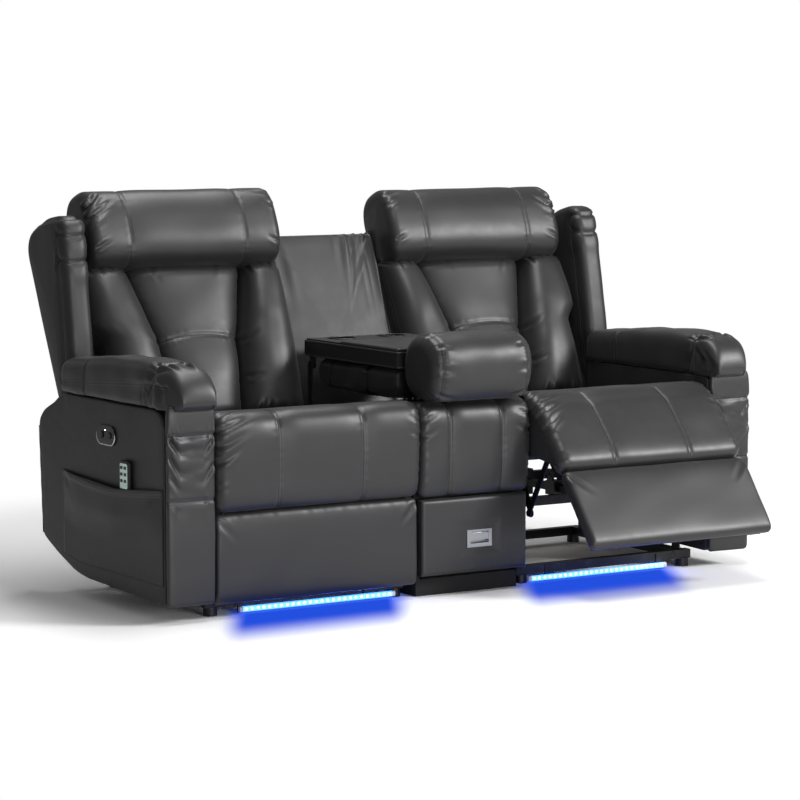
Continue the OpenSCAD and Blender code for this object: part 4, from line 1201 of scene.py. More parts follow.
    def lugs(self) -> None:
        """Steel lugs that hang the board on its pivot pins."""
        w = np.linspace(0.0, math.pi, 22)
        way = np.array([29.0, 74.0]) / math.hypot(29.0, 74.0)
        across = np.array([way[1], -way[0]])
        far = np.array([29.0, 74.0]) + 17.0 * (np.cos(w)[:, None] * across + np.sin(w)[:, None] * way)
        near = -17.0 * (np.cos(w)[:, None] * across + np.sin(w)[:, None] * way)
        for k, x in enumerate((-283.0, 278.0)):
            skin = slab(np.vstack([far, near]), (14.5, 37.0), x, x + 5.0, 1.0)
            name = f"{self.side.word}_back_lug_{k + 1}"
            obj = Maker.skin(name, self.place(skin.axes(2, 0, 1)), soft=False)
            Maker.finish(obj, self.body(), Slot.STEEL, self.wear.steel, (f"{self.side.word}_back_shell",))

    def build(self) -> None:
        """Make the back's pieces."""
        self.headrest()
        self.middle_panel()
        self.bolster(True)
        self.bolster(False)
        self.wing()
        self.cover()
        self.lugs()


@dataclass
class Arm:
    """Arm: outer panel and box, gathered front cover, pillow-top pad, side pocket and switch rim."""

    side: Side
    wear: Wardrobe
    front_y: float = -388.3
    pad_nose: float = -428.0
    pad_rear: float = 190.0
    pad_low: float = 544.0
    switch: tuple[float, float] = (-75.0, 454.0)

    @property
    def sign(self) -> int:
        """Direction of the outer side along X."""
        return self.side.value

    def put(self, x: np.ndarray, y: np.ndarray, z: np.ndarray) -> np.ndarray:
        """Points from an outward X, Y and Z."""
        return np.stack([self.sign * x, y, z], axis=-1)

    def panel(self) -> bpy.types.Object:
        """Upholstered outer panel with its swept rear corner: rounded edges and a slight swell."""
        outline = soft_outline(
            ((-387, 47), (60, 59), (130, 70), (237, 107), (318, 143), (326, 232), (338, 441), (333, 463),
             (305, 488), (240, 514), (190, 542), (-343, 542), (-371, 531), (-387, 508)), 260, 3,
        )
        skin = slab(outline, (-20.0, 320.0), 908.2, 929.6, 7.0, (0.0, 1.2))
        skin.axes(2, 0, 1)
        x, y, z = np.moveaxis(skin.pts, -1, 0)
        out = smooth((x - 924.0) / 4.0)
        h = out * (0.7 * rumple(skin.pts, 210.0, 101 + self.sign))
        h += out * crease(y, z, (-20.0, 540.0), (120.0, 486.0), 1.6, 12.0)
        h += out * crease(y, z, (186.0, 532.0), (236.0, 430.0), 2.4, 14.0)
        skin.push(h)
        skin.pts[..., 0] *= self.sign
        obj = Maker.skin(f"{self.side.word}_arm_panel", skin)
        return Maker.finish(obj, "frame", Slot.PANEL, self.wear.panel, (f"{self.side.word}_arm",), 0.1)

    def box(self) -> bpy.types.Object:
        """Covered box between the outer panel and the seat."""
        outline = soft_outline(
            ((-387.5, 47), (60, 60), (130, 71), (189.5, 92), (189.5, 542.5), (-387.5, 542.5)), 170, 1
        )
        skin = slab(outline, (-100.0, 300.0), 793.6, 908.0, 4.0)
        skin.axes(2, 0, 1)
        skin.pts[..., 0] *= self.sign
        obj = Maker.skin(f"{self.side.word}_arm_box", skin)
        return Maker.finish(obj, "frame", Slot.PANEL, self.wear.panel, (f"{self.side.word}_arm",), 0.1)

    def front(self) -> bpy.types.Object:
        """Front cover gathered below its upper seam, with slanting folds down to a second seam."""
        rows, cols = 170, 120
        z = 46.0 + 509.0 * (0.5 - 0.5 * np.cos(np.linspace(0.0, math.pi, rows)))
        t = circle(cols)
        end = np.clip(np.maximum(1.0 - (z - 46.0) / 12.0, 1.0 - (555.0 - z) / 26.0), 0.0, 1.0)
        full = 0.45 + 0.55 * np.sqrt(1.0 - end**2)
        x = ARM_MID + (67.0 - 16.0 * (1.0 - full))[:, None] * squared(np.cos(t), 0.26)[None, :]
        y = self.front_y - 10.0 + (9.8 * full)[:, None] * squared(np.sin(t), 0.55)[None, :]
        zz = np.broadcast_to(z[:, None], x.shape)
        front = np.broadcast_to(smooth((-np.sin(t) + 0.1) / 0.4)[None, :], x.shape)
        u = (x - ARM_MID) * self.sign
        seed = 110 + self.sign
        h = front * (-4.5 * bell(zz - 480.0, 5.5) - 3.4 * bell(zz - 314.0, 5.0))
        h += front * (2.4 * ripple(u, 15.0, seed) * bell(np.abs(zz - 476.0) - 12.0, 13.0))
        h += front * 2.2 * bell(zz - 512.0, 30.0) + front * 1.6 * (
            bell(zz - 390.0, 60.0) + bell(zz - 190.0, 120.0)
        )
        for a, b, deep in (
            ((-58.0, 468.0), (14.0, 372.0), 7.0), ((-26.0, 470.0), (52.0, 398.0), 6.0),
            ((-60.0, 424.0), (0.0, 330.0), 6.0),
            ((56.0, 462.0), (14.0, 404.0), 3.5), ((60.0, 400.0), (2.0, 318.0), 3.5),
            ((-56.0, 372.0), (-20.0, 314.0), 3.0),
            ((10.0, 474.0), (22.0, 430.0), 3.0), ((-8.0, 306.0), (-2.0, 352.0), 2.6),
            ((36.0, 306.0), (30.0, 342.0), 2.4),
            ((-40.0, 296.0), (-34.0, 262.0), 2.4), ((22.0, 296.0), (18.0, 256.0), 2.2),
        ):
            h += front * crease(u, zz, a, b, deep, 5.5)
        h += front * 1.0 * rumple(np.stack([x, y, zz], axis=-1), 90.0, seed)
        h = np.clip(h, -7.0, 4.2)
        skin = Skin(self.put(x, y, zz)).push(h)
        skin.pts[..., 1] = np.minimum(skin.pts[..., 1], self.front_y)
        d = np.where(np.abs(zz - 480.0) < np.abs(zz - 314.0), zz - 480.0, zz - 314.0)
        skin.sew(np.where(front > 0.5, d, FAR), u)
        obj = Maker.skin(f"{self.side.word}_arm_face", skin)
        return Maker.finish(
            obj, "frame", Slot.LEATHER, self.wear.leather, (f"{self.side.word}_arm_front",), 0.3
        )

    def pad(self) -> bpy.types.Object:
        """Pillow top: superellipse sections whose top follows a crown and rolls over the nose.

        At y the upper half is x = 861.5 + r(y) sin^0.5 and z = c + h cos^0.62, and the lower half is squarer
        with powers 0.22 and 0.26. Towards the nose the sections lean in by 12 and drop by 24.
        """
        rows, cols = 210, 132
        y = self.pad_nose + (self.pad_rear - self.pad_nose) * (
            0.5 - 0.5 * np.cos(np.linspace(0.0, math.pi, rows))
        )
        e = np.clip(1.0 - (y - self.pad_nose) / 66.0, 0.0, 1.0)
        nose = np.sqrt(np.maximum(0.0, 1.0 - e**2.3))
        g = np.clip(1.0 - (self.pad_rear - y) / 26.0, 0.0, 1.0)
        tail = np.sqrt(np.maximum(0.0, 1.0 - g**2.2))
        crown = np.interp(y, [-428, -330, -200, -50, 93, 190], [653, 657, 659, 653, 640, 634])
        low = self.pad_low + 26.0 * (1.0 - nose)
        mid = 592.0 - 8.0 * (1.0 - nose)
        top = mid + (crown - mid) * (0.1 + 0.9 * nose) * (0.8 + 0.2 * tail)
        bottom = mid - (mid - low) * (0.25 + 0.75 * nose)
        lean = np.clip(-(y + 119.0) / 309.0, 0.0, 1.0) ** 5
        r = 71.0 * (0.84 + 0.16 * nose) * (0.93 + 0.07 * tail) * (1.0 - 0.26 * lean)
        t = circle(cols)
        c = squared(np.cos(t), 0.62)
        zc = (top + bottom) / 2.0
        c = np.where(c > 0.0, c, squared(np.cos(t), 0.26))
        z = np.where(
            c > 0.0, zc[:, None] + (top - zc)[:, None] * c[None, :],
            zc[:, None] + (zc - bottom)[:, None] * c[None, :],
        )
        z = z - 24.0 * lean[:, None]
        width = np.where(c > 0.0, squared(np.sin(t), 0.5), squared(np.sin(t), 0.22))
        x = ARM_MID - 12.0 * lean[:, None] + r[:, None] * width[None, :]
        yy = np.broadcast_to(y[:, None], x.shape)
        u = (x - ARM_MID) * self.sign
        seed = 120 + self.sign
        above = np.broadcast_to(smooth((np.cos(t) + 0.9) / 0.3)[None, :], x.shape)
        cross = yy + 322.0 - 0.12 * np.abs(u) - 0.35 * np.maximum(0.0, 610.0 - z)
        band = np.interp(yy, [-428, -300, 190], [600, 604, 570])
        sides = smooth((np.abs(u) - 50.0) / 12.0)
        outer = smooth((x - ARM_MID - 50.0) / 12.0)
        h = above * (3.0 * (1.0 - bell(cross, 34.0)) - 8.0 * bell(cross, 7.0))
        h += outer * (-3.6 * bell(z - band, 5.0) - 3.0 * bell(yy + 276.0, 5.0) * smooth((band - z) / 6.0))
        h += above * -3.0 * bell(yy - 45.0, 5.0)
        h += above * 1.8 * ripple(u + 0.3 * z, 15.0, seed) * bell(np.abs(cross) - 13.0, 12.0)
        for k, u0 in enumerate((-58.0, -30.0, -4.0, 24.0, 52.0)):
            h += above * crease(
                u, yy, (u0, -330.0), (u0 * 0.72 + 5.0, -330.0 - 52.0 - 14.0 * (k % 2)), 6.5, 6.0
            )
        for k, u0 in enumerate((-40.0, 30.0)):
            h += above * crease(u, yy, (u0, -304.0), (u0 * 0.6, -304.0 + 30.0 + 16.0 * k), 3.2, 5.5)
        for k, (y0, y1) in enumerate(((-396.0, -340.0), (-408.0, -362.0), (-372.0, -322.0))):
            edge = -1.0 if k % 2 else 1.0
            pleat = crease(yy, z, (y0, 570.0 + 8.0 * k), (y1, 616.0 + 6.0 * k), 4.0, 6.0)
            h += sides * pleat * (edge * u > -100.0)
        h += above * 1.6 * rumple(np.stack([x, yy, z], axis=-1), 150.0, seed)
        h = np.clip(h, -9.0, 6.0)
        skin = Skin(self.put(x, yy, z)).push(h)
        p = skin.pts
        p[..., 2] = np.where(p[..., 1] > -408.0, np.maximum(p[..., 2], self.pad_low), p[..., 2])
        p[..., 2] = np.where(
            (p[..., 1] <= -405.0) & (p[..., 1] > -409.0), np.maximum(p[..., 2], 556.5), p[..., 2]
        )
        line = np.where(outer > 0.4, z - band, FAR)
        skin.sew(np.where(above > 0.5, cross, FAR), u)
        skin.sew(np.where(above > 0.5, yy - 45.0, FAR), u)
        skin.sew(line, yy)
        obj = Maker.skin(f"{self.side.word}_arm_pillow", skin)
        return Maker.finish(
            obj, "frame", Slot.LEATHER, self.wear.leather, (f"{self.side.word}_arm_pad",), 0.6
        )

    def pocket(self) -> bpy.types.Object:
        """Open pocket sewn to the panel: a doubled sheet whose mouth stands off and sags between its ends."""
        rows, cols = 72, 96
        v = np.linspace(0.0, 1.0, rows)
        w = np.linspace(0.0, 1.0, cols)
        y = -382.0 + 566.0 * w
        mouth = np.interp(y, [-382, -300, -200, -117, 0, 127, 184], [343, 336, 326, 321, 323, 333, 338])
        foot = np.interp(y, [-382, 100, 184], [97, 98, 113])
        z = foot[None, :] + (mouth - foot)[None, :] * v[:, None]
        gape = 0.8 + 16.8 * np.sin(math.pi * np.clip(w, 0.0, 1.0)) ** 0.7 * smooth((v - 0.3) / 0.42)[:, None]
        yy = np.broadcast_to(y[None, :], z.shape)
        folds = crease(yy, z, (-372.0, 340.0), (-290.0, 282.0), 3.0, 10.0)
        folds += crease(yy, z, (176.0, 330.0), (110.0, 284.0), 2.5, 11.0)
        slack = rumple(np.stack([0 * z, yy, z], axis=-1), 170.0, 131 + self.sign)
        folds += 1.6 * slack * smooth(v * 3.0)[:, None]
        hem = 1.6 * smooth((z - mouth[None, :] + 15.0) / 2.0)
        x = 930.4 + np.maximum(1.4, gape + folds * np.minimum(1.0, gape / 8.0) + hem)
        back = np.maximum(930.3, x - 2.4 - hem)
        pts = np.concatenate([self.put(x, yy, z), self.put(back, yy, z)[:, ::-1]], axis=1)
        skin = Skin(pts)
        both = np.concatenate([z - mouth[None, :] + 15.0, np.full_like(z, FAR)], axis=1)
        skin.sew(both, np.concatenate([yy, yy], axis=1))
        obj = Maker.skin(f"{self.side.word}_pocket_sheet", skin)
        return Maker.finish(obj, "frame", Slot.LEATHER, self.wear.panel, (f"{self.side.word}_pocket",), 0.05)

    def rim(self) -> None:
        """Bright U round the lower half of the oval switch plate, and its small lamp."""
        y0, z0 = self.switch
        w = np.linspace(-math.pi, 0.0, 40)
        arc = np.stack([25.0 * np.cos(w), 25.0 * np.sin(w)], axis=-1)
        right = arc[20:] + np.array([27.0, 0.0])
        left = arc[:21] + np.array([-27.0, 0.0])
        path = np.vstack([left, right])
        path = np.vstack([path[:1] + np.array([0.0, 6.0]), path, path[-1:] + np.array([0.0, 6.0])])
        x = np.full(len(path), 934.6)
        line = self.put(x, y0 + path[:, 0], z0 + path[:, 1])
        taper = 1.9 * np.minimum(
            1.0, 0.35 + np.minimum(np.arange(len(path)), np.arange(len(path))[::-1]) / 6.0
        )
        obj = Maker.tube(f"{self.side.word}_switch_rim", line, taper, 10)
        Maker.finish(obj, "frame", Slot.CHROME, self.wear.silver)
        dome = self.put(
            935.2 + 1.6 * np.sin(np.linspace(0.05, 1.57, 8)), np.full(8, y0 + 1.0), np.full(8, z0 + 13.0)
        )
        radius = 1.4 * np.cos(np.linspace(0.05, 1.5, 8))
        obj = Maker.tube(f"{self.side.word}_switch_lamp", dome, radius, 12)
        Maker.finish(obj, "frame", Slot.LIGHT, self.wear.dots)

    def piping(self) -> None:
        """Thin welts down the front and rear edges of the outer panel."""
        for k, (a, b) in enumerate((((-388.5, 52.0), (-388.5, 505.0)), ((316.0, 150.0), (334.5, 440.0)))):
            s = np.linspace(0.0, 1.0, 60)
            y = a[0] + (b[0] - a[0]) * s
            z = a[1] + (b[1] - a[1]) * s
            line = self.put(np.full(60, 928.2) + 0.3 * np.sin(s * 31.0), y, z)
            obj = Maker.tube(f"{self.side.word}_arm_welt_{k + 1}", line, 2.2, 8)
            Maker.finish(obj, "frame", Slot.PANEL, self.wear.panel)

    def build(self) -> None:
        """Make the arm's pieces."""
        self.panel()
        self.box()
        self.front()
        self.pad()
        self.pocket()
        self.rim()
        self.piping()


@dataclass
class Middle:
    """Narrow middle place: seat, rear panel, folded console with its pillow, and drawer front."""

    wear: Wardrobe
    half: float = 172.0
    seam: float = 83.0
    seat_cover: tuple = (
        (142, 462), (100, 468), (0, 482), (-200, 502), (-330, 514), (-372, 515), (-398, 500), (-409, 470),
        (-410, 420),
        (-409, 350), (-404, 296), (-396, 275), (-384, 271), (-374, 276), (-371, 300), (-370.7, 380),
        (-370.5, 428),
        (-358, 431), (-200, 431), (0, 431), (110, 431), (138, 432), (149, 438), (150, 450),
    )

    def seat(self) -> bpy.types.Object:
        """Narrow seat cover that rolls over the front down to the drawer."""
        section = closed_curve(self.seat_cover, 230)
        pts, x = carried(section, self.half, 20.0, 74)
        normal = section_normals(section)
        face = smooth((np.maximum(normal[:, 1], -normal[:, 0]) - 0.15) / 0.5)
        face = np.broadcast_to(face, pts.shape[:2]).copy()
        length = np.linalg.norm(np.roll(section, -1, axis=0) - section, axis=1)
        roll = np.argmin(np.linalg.norm(section - np.array([-398.0, 500.0]), axis=1))
        run = np.broadcast_to(-(np.cumsum(length) - np.cumsum(length)[roll]), pts.shape[:2])
        xx = np.broadcast_to(x[:, None], pts.shape[:2])
        d = np.abs(xx) - self.seam
        h = face * (4.6 * (1.0 - bell(d, 24.0)) - 4.6 * bell(d, 5.5))
        h += 0.8 * face * ripple(run, 16.0, 141) * bell(np.abs(d) - 8.0, 6.0)
        end = self.half - np.abs(xx)
        h += 1.4 * face * ripple(run, 20.0, 143) * bell(end - 8.0, 14.0)
        for edge in (-1.0, 1.0):
            for s0 in (14.0, -30.0, -70.0):
                h += face * crease(xx, run, (edge * 168.0, s0), (edge * 108.0, s0 + 26.0), 4.0, 5.5)
        h += 0.7 * face * rumple(pts, 130.0, 147)
        skin = Skin(pts).push(h).sew(np.where(face > 0.4, d, FAR), run)
        obj = Maker.skin("middle_seat_cover", skin)
        return Maker.finish(obj, "frame", Slot.LEATHER, self.wear.leather, ("middle_seat",), 0.6)

    def rear_panel(self) -> bpy.types.Object:
        """Flat leaning panel behind the console, with slack upright folds, most near its right edge."""
        outline = soft_outline(((-171.5, -58), (171.5, -58), (171.5, 654), (-171.5, 654)), 220, 2)
        skin = slab(outline, (0.0, 300.0), 14.3, 52.5, 9.0, (3.0, 1.0))
        skin.axes(0, 2, 1)
        x, y, a = np.moveaxis(skin.pts, -1, 0)
        front = smooth((22.0 - y) / 8.0)
        h = np.zeros_like(x)
        for u0, u1, top, foot, deep in (
            (152.0, 146.0, 640.0, 330.0, 12.0), (126.0, 120.0, 640.0, 380.0, 11.0),
            (98.0, 88.0, 645.0, 430.0, 8.0),
            (-152.0, -146.0, 640.0, 400.0, 5.5), (62.0, 54.0, 645.0, 560.0, 3.4),
        ):
            h += crease(x, a, (u0, top), (u1, foot), deep, 8.0)
        skin.push(front * (h + 1.2 * rumple(skin.pts, 130.0, 151)))
        skin.pts[..., 1:] = BACK_PIN + turn(skin.pts[..., 1:], 22.0)
        skin.pts[..., 2] = np.maximum(skin.pts[..., 2], 262.5)
        obj = Maker.skin("middle_rear_cover", skin)
        return Maker.finish(obj, "frame", Slot.PANEL, self.wear.panel, ("middle_rear_panel",), 0.2)

    def lid(self) -> None:
        """Padded lid over the front half of the table, welts round the table's band, and the cups' rims."""
        outline = soft_outline(((-168, -279), (168, -279), (168, 19), (-168, 19)), 220, 2)
        skin = slab(outline, (0.0, -130.0), 646.0, 658.0, 5.0, (0.0, 2.2))
        skin.push(0.5 * rumple(skin.pts, 80.0, 161))
        obj = Maker.skin("console_lid_pad", skin)
        Maker.finish(obj, "console", Slot.PANEL, self.wear.leather, fill=None)
        ring = soft_outline(((-170.5, -279.5), (170.5, -279.5), (170.5, 204.5), (-170.5, 204.5)), 280, 3)
        for k, z in enumerate((646.0, 606.5)):
            line = np.column_stack([ring, np.full(len(ring), z)])
            obj = Maker.tube(f"console_welt_{k + 1}", line, 2.6, 8, True)
            Maker.finish(obj, "console", Slot.PANEL, self.wear.leather)
        w = circle(64)
        for k, x0 in enumerate((-82.0, 82.0)):
            line = np.stack([x0 + 38.6 * np.cos(w), 150.0 + 38.6 * np.sin(w), np.full(64, 652.6)], axis=-1)
            obj = Maker.tube(f"cup_rim_{k + 1}", line, 2.2, 10, True)
            Maker.finish(obj, "console", Slot.BUTTON, self.wear.button)

    def cushion(self) -> bpy.types.Object:
        """Padding under the table, gathered into a deep cleft between its two halves."""
        rows, cols = 180, 130
        f = -np.cos(np.linspace(0.0, math.pi, rows))
        y = -65.5 + 203.5 * f
        end = np.clip((np.abs(f) - 0.84) / 0.16, 0.0, 1.0)
        full = 0.4 + 0.6 * np.sqrt(np.maximum(0.0, 1.0 - end**2.2))
        t = circle(cols)
        x = (167.0 * (0.96 + 0.04 * full))[:, None] * squared(np.sin(t), 0.42)[None, :]
        c = squared(np.cos(t), 0.5)
        sag = np.interp(y, [-270.0, -190.0, -100.0], [40.0, 49.0, 51.0]) * full
        z = np.where(
            c > 0.0, 604.4 - 40.0 * (1.0 - c)[None, :] * np.ones((rows, 1)), 564.4 + sag[:, None] * c[None, :]
        )
        yy = np.broadcast_to(y[:, None], x.shape)
        side = np.broadcast_to(smooth((0.92 - np.cos(t)) / 0.3)[None, :], x.shape)
        d = yy + 114.0
        h = side * (-10.0 * bell(d, 8.0) + 3.5 * (bell(d - 46.0, 34.0) + bell(d + 50.0, 36.0)))
        h += side * 2.2 * ripple(z + 0.4 * x, 13.0, 171) * bell(np.abs(d) - 14.0, 13.0)
        h += side * -3.2 * bell(yy - 78.0, 4.5)
        h += side * 1.0 * rumple(np.stack([x, yy, z], axis=-1), 70.0, 173)
        skin = Skin(np.stack([x, yy, z], axis=-1)).push(h)
        skin.pts[..., 2] = np.minimum(skin.pts[..., 2], 604.6)
        skin.sew(np.where(side > 0.5, yy - 78.0, FAR), z)
        obj = Maker.skin("console_under_cushion", skin)
        return Maker.finish(obj, "console", Slot.LEATHER, self.wear.leather, ("console_cushion",), 0.6)

    def pillow(self) -> bpy.types.Object:
        """Head pillow across the table's front end: a roll with puckered ends and one seam near each."""
        t = circle(150)
        section = np.stack(
            [-367.0 + 92.0 * squared(np.cos(t), 0.84), 612.0 + 91.0 * squared(np.sin(t), 0.84)], axis=-1
        )
        pts, x = carried(section, 160.0, 42.0, 76, 11)
        xx = np.broadcast_to(x[:, None], pts.shape[:2])
        tt = np.broadcast_to(np.degrees(t)[None, :], pts.shape[:2])
        d = np.abs(xx) - 136.0
        h = 1.5 * (1.0 - bell(d, 26.0)) - 3.0 * bell(d, 4.0)
        h += 1.0 * ripple(tt * 1.6, 17.0, 181) * bell(np.abs(d) - 9.0, 8.0)
        for k in range(9):
            at = 20.0 + 40.0 * k
            for edge in (-1.0, 1.0):
                h += crease(
                    xx, tt * 1.6, (edge * 136.0, at * 1.6), (edge * (92.0 - 10.0 * (k % 3)), at * 1.6 + 9.0),
                    3.6, 6.0,
                )
        h += 1.2 * rumple(pts, 140.0, 183)
        skin = Skin(pts).push(np.clip(h, -7.0, 4.0))
        p = skin.pts
        p[..., 1] = np.minimum(p[..., 1], -280.6)
        p[..., 2] -= 10.0 * smooth((-400.0 - p[..., 1]) / 36.0) * smooth((600.0 - p[..., 2]) / 60.0)
        skin.sew(d, tt * 1.6)
        obj = Maker.skin("console_head_pillow", skin)
        return Maker.finish(obj, "console", Slot.LEATHER, self.wear.leather, ("console_pillow",), 0.75)

    def drawer(self) -> bpy.types.Object:
        """Upholstered drawer front with a sunk seat for the chrome pull.

        Rows go up Z and columns round X and Y; front points inside the pull's rectangle lie 14 mm deeper.
        """
        z = np.concatenate([
            58.4 + 9.0 * (1.0 - np.cos(np.linspace(0.0, math.pi / 2.0, 6))), np.linspace(70.0, 134.3, 20),
            [134.5],
            np.linspace(135.0, 169.2, 12), [169.5, 169.8], np.linspace(173.0, 251.0, 20),
            254.0 + 9.0 * np.sin(np.linspace(0.1, math.pi / 2.0, 6)),
        ])
        side = 169.0 - 9.0 * (1.0 - np.cos(np.linspace(0.0, math.pi / 2.0, 6)))
        x = np.concatenate([
            -side, np.linspace(-156.0, -18.8, 32), [-18.5], np.linspace(-18.0, 44.0, 16), [44.5, 44.8],
            np.linspace(49.0, 156.0, 26), side[::-1],
        ])
        edge_x = np.clip((np.abs(x) - 158.0) / 11.0, 0.0, 1.0)
        edge_z = np.clip(np.maximum(69.0 - z, z - 252.0) / 11.0, 0.0, 1.0)
        dip = 9.0 * (1.0 - np.sqrt(np.maximum(0.0, 1.0 - np.maximum(edge_x[None, :], edge_z[:, None]) ** 2)))
        xx, zz = np.meshgrid(x, z)
        full = (1.0 - (xx / 172.0) ** 4) * (1.0 - ((zz - 161.0) / 104.0) ** 4)
        clear = np.maximum(
            smooth((np.abs(xx - 13.0) - 44.0) / 30.0), smooth((np.abs(zz - 152.0) - 27.0) / 26.0)
        )
        y = -401.5 + dip - full * (0.8 + 2.6 * clear)
        y += 0.5 * rumple(np.stack([xx, 0 * xx, zz], axis=-1), 110.0, 191)
        inside = (np.abs(xx - 13.0) < 31.4) & (zz > 134.6) & (zz < 169.4)
        y = np.where(inside, -387.6, y)
        back = np.stack([xx, np.full_like(xx, -372.3), zz], axis=-1)[:, ::-1]
        skin = Skin(np.concatenate([np.stack([xx, y, zz], axis=-1), back], axis=1))
        obj = Maker.skin("drawer_front_cover", skin)
        return Maker.finish(obj, "drawer", Slot.LEATHER, self.wear.leather, ("drawer_front",), 0.2)

    def build(self) -> None:
        """Make the middle place's pieces."""
        self.seat()
        self.rear_panel()
        self.lid()
        self.cushion()
        self.pillow()
        self.drawer()


@dataclass
class Lights:
    """Light strip under a seat: blue sleeve, a row of bright diodes and a white cap at either end."""

    side: Side
    wear: Wardrobe
    half: float = 236.5
    dots: int = 26

    def build(self) -> None:
        """Make the strip's pieces."""
        x0 = self.side.value * (SEAT_CX + LIGHT_SHIFT)
        w = circle(20)
        ring = np.stack(
            [-339.0 + 5.8 * squared(np.cos(w), 0.6), 11.5 + 7.2 * squared(np.sin(w), 0.6)], axis=-1
        )
        pts, _ = carried(ring, self.half - 7.0, 1.0, 12, 3)
        pts = pts + np.array([x0, 0.0, 0.0])
        name = self.side.word
        obj = Maker.skin(f"{name}_light_sleeve", Skin(pts))
        Maker.finish(obj, "frame", Slot.LIGHT, self.wear.sleeve, (f"{name}_light_strip",))
        for k, edge in enumerate((-1.0, 1.0)):
            cap, _ = carried(ring, 5.0, 1.5, 4, 4)
            middle = np.array([0.0, -339.0, 11.5])
            cap = (cap - middle) * np.array([1.0, 1.06, 1.06]) + middle + np.array(
                [x0 + edge * (self.half - 5.0), 0.0, 0.0]
            )
            obj = Maker.skin(f"{name}_light_cap_{k + 1}", Skin(cap))
            Maker.finish(obj, "frame", Slot.LIGHT, self.wear.cap)
        # Diodes: flattened domes on the sleeve's front, all in one mesh
        v, u = np.meshgrid(np.linspace(0.0, math.pi, 7), circle(10), indexing="ij")
        dome = np.stack(
            [2.9 * np.sin(v) * np.cos(u), -1.8 * np.cos(v), 2.9 * np.sin(v) * np.sin(u)], axis=-1
        )[1:-1]
        rows, cols = dome.shape[:2]
        at = np.linspace(-self.half + 18.0, self.half - 18.0, self.dots)
        base = np.stack([x0 + at, np.full(self.dots, -344.9), np.full(self.dots, 12.5)], axis=-1)
        verts = (base[:, None, :] + dome.reshape(1, -1, 3)).reshape(-1, 3)
        i, j = np.meshgrid(np.arange(rows - 1), np.arange(cols), indexing="ij")
        k = (j + 1) % cols
        quads = np.stack(
            [i * cols + j, i * cols + k, (i + 1) * cols + k, (i + 1) * cols + j], axis=-1
        ).reshape(-1, 4)
        if not Maker.outward(dome.reshape(-1, 3), quads):
            quads = quads[:, ::-1]
        first, last = np.arange(cols), np.arange(cols) + (rows - 1) * cols
        normal = np.cross(dome[0, 1] - dome[0, 0], dome[0, 2] - dome[0, 1])
        caps = [first, last[::-1]] if normal[1] < 0.0 else [first[::-1], last]
        faces = [q + n * rows * cols for n in range(self.dots) for q in (*quads, *caps)]
        obj = Maker.mesh(f"{name}_light_diodes", verts, faces)
        Maker.finish(obj, "frame", Slot.LIGHT, self.wear.dots)


@dataclass
class Handset:
    """Handset in the left pocket: rounded shell with a tinted face that has a faint painted glow, and two
    columns of keys.
    """

    wear: Wardrobe
    centre: tuple[float, float] = (-193.0, 337.5)

    def build(self) -> None:
        """Make the handset's pieces."""
        y0, z0 = self.centre
        shell = self.plate("shell", (25.0, -62.5, 62.5), self.centre, (90, 4), (930.7, 943.4, 4.0), 0.6)
        Maker.finish(shell, "handset", Slot.HANDSET, self.wear.handset, ("remote",))
        # Painted light: the face film is given a faint glow of its own.
        face = self.plate("face", (20.0, -10.0, 55.0), self.centre, (70, 3), (943.0, 944.6, 0.6), 0.0, 22.0)
        Maker.finish(face, "handset", Slot.HANDSET, self.wear.screen)
        for k in range(6):
            at = (y0 + (-10.0 if k % 2 else 10.0), z0 + 44.0 - 17.0 * (k // 2))
            key = self.plate(f"key_{k + 1}", (6.0, -4.0, 4.0), at, (32, 2), (944.0, 946.2, 0.8), 0.0)
            Maker.finish(key, "handset", Slot.BUTTON, self.wear.button)

    def plate(
        self, word: str, size: tuple, at: tuple, detail: tuple, depth: tuple, puff: float, rise: float = 0.0
    ) -> bpy.types.Object:
        """Rounded plate that faces the left.

        Args:
            word: Last part of its name.
            size: Half width, lower and upper edge.
            at: Y and Z that the size is measured from.
            detail: Points of the outline and its averaging passes.
            depth: Near face and far face, and the radius of the edges.
            puff: Swell of the far face.
            rise: Height of the rings' middle above at.

        Returns:
            The plate.
        """
        half, low, high = size
        corners = ((-half, low), (half, low), (half, high), (-half, high))
        outline = soft_outline(corners, *detail) + np.array(at)
        skin = slab(outline, (at[0], at[1] + rise), *depth, (0.0, puff)).axes(2, 0, 1)
        skin.pts[..., 0] *= -1
        return Maker.skin(f"handset_{word}", skin)


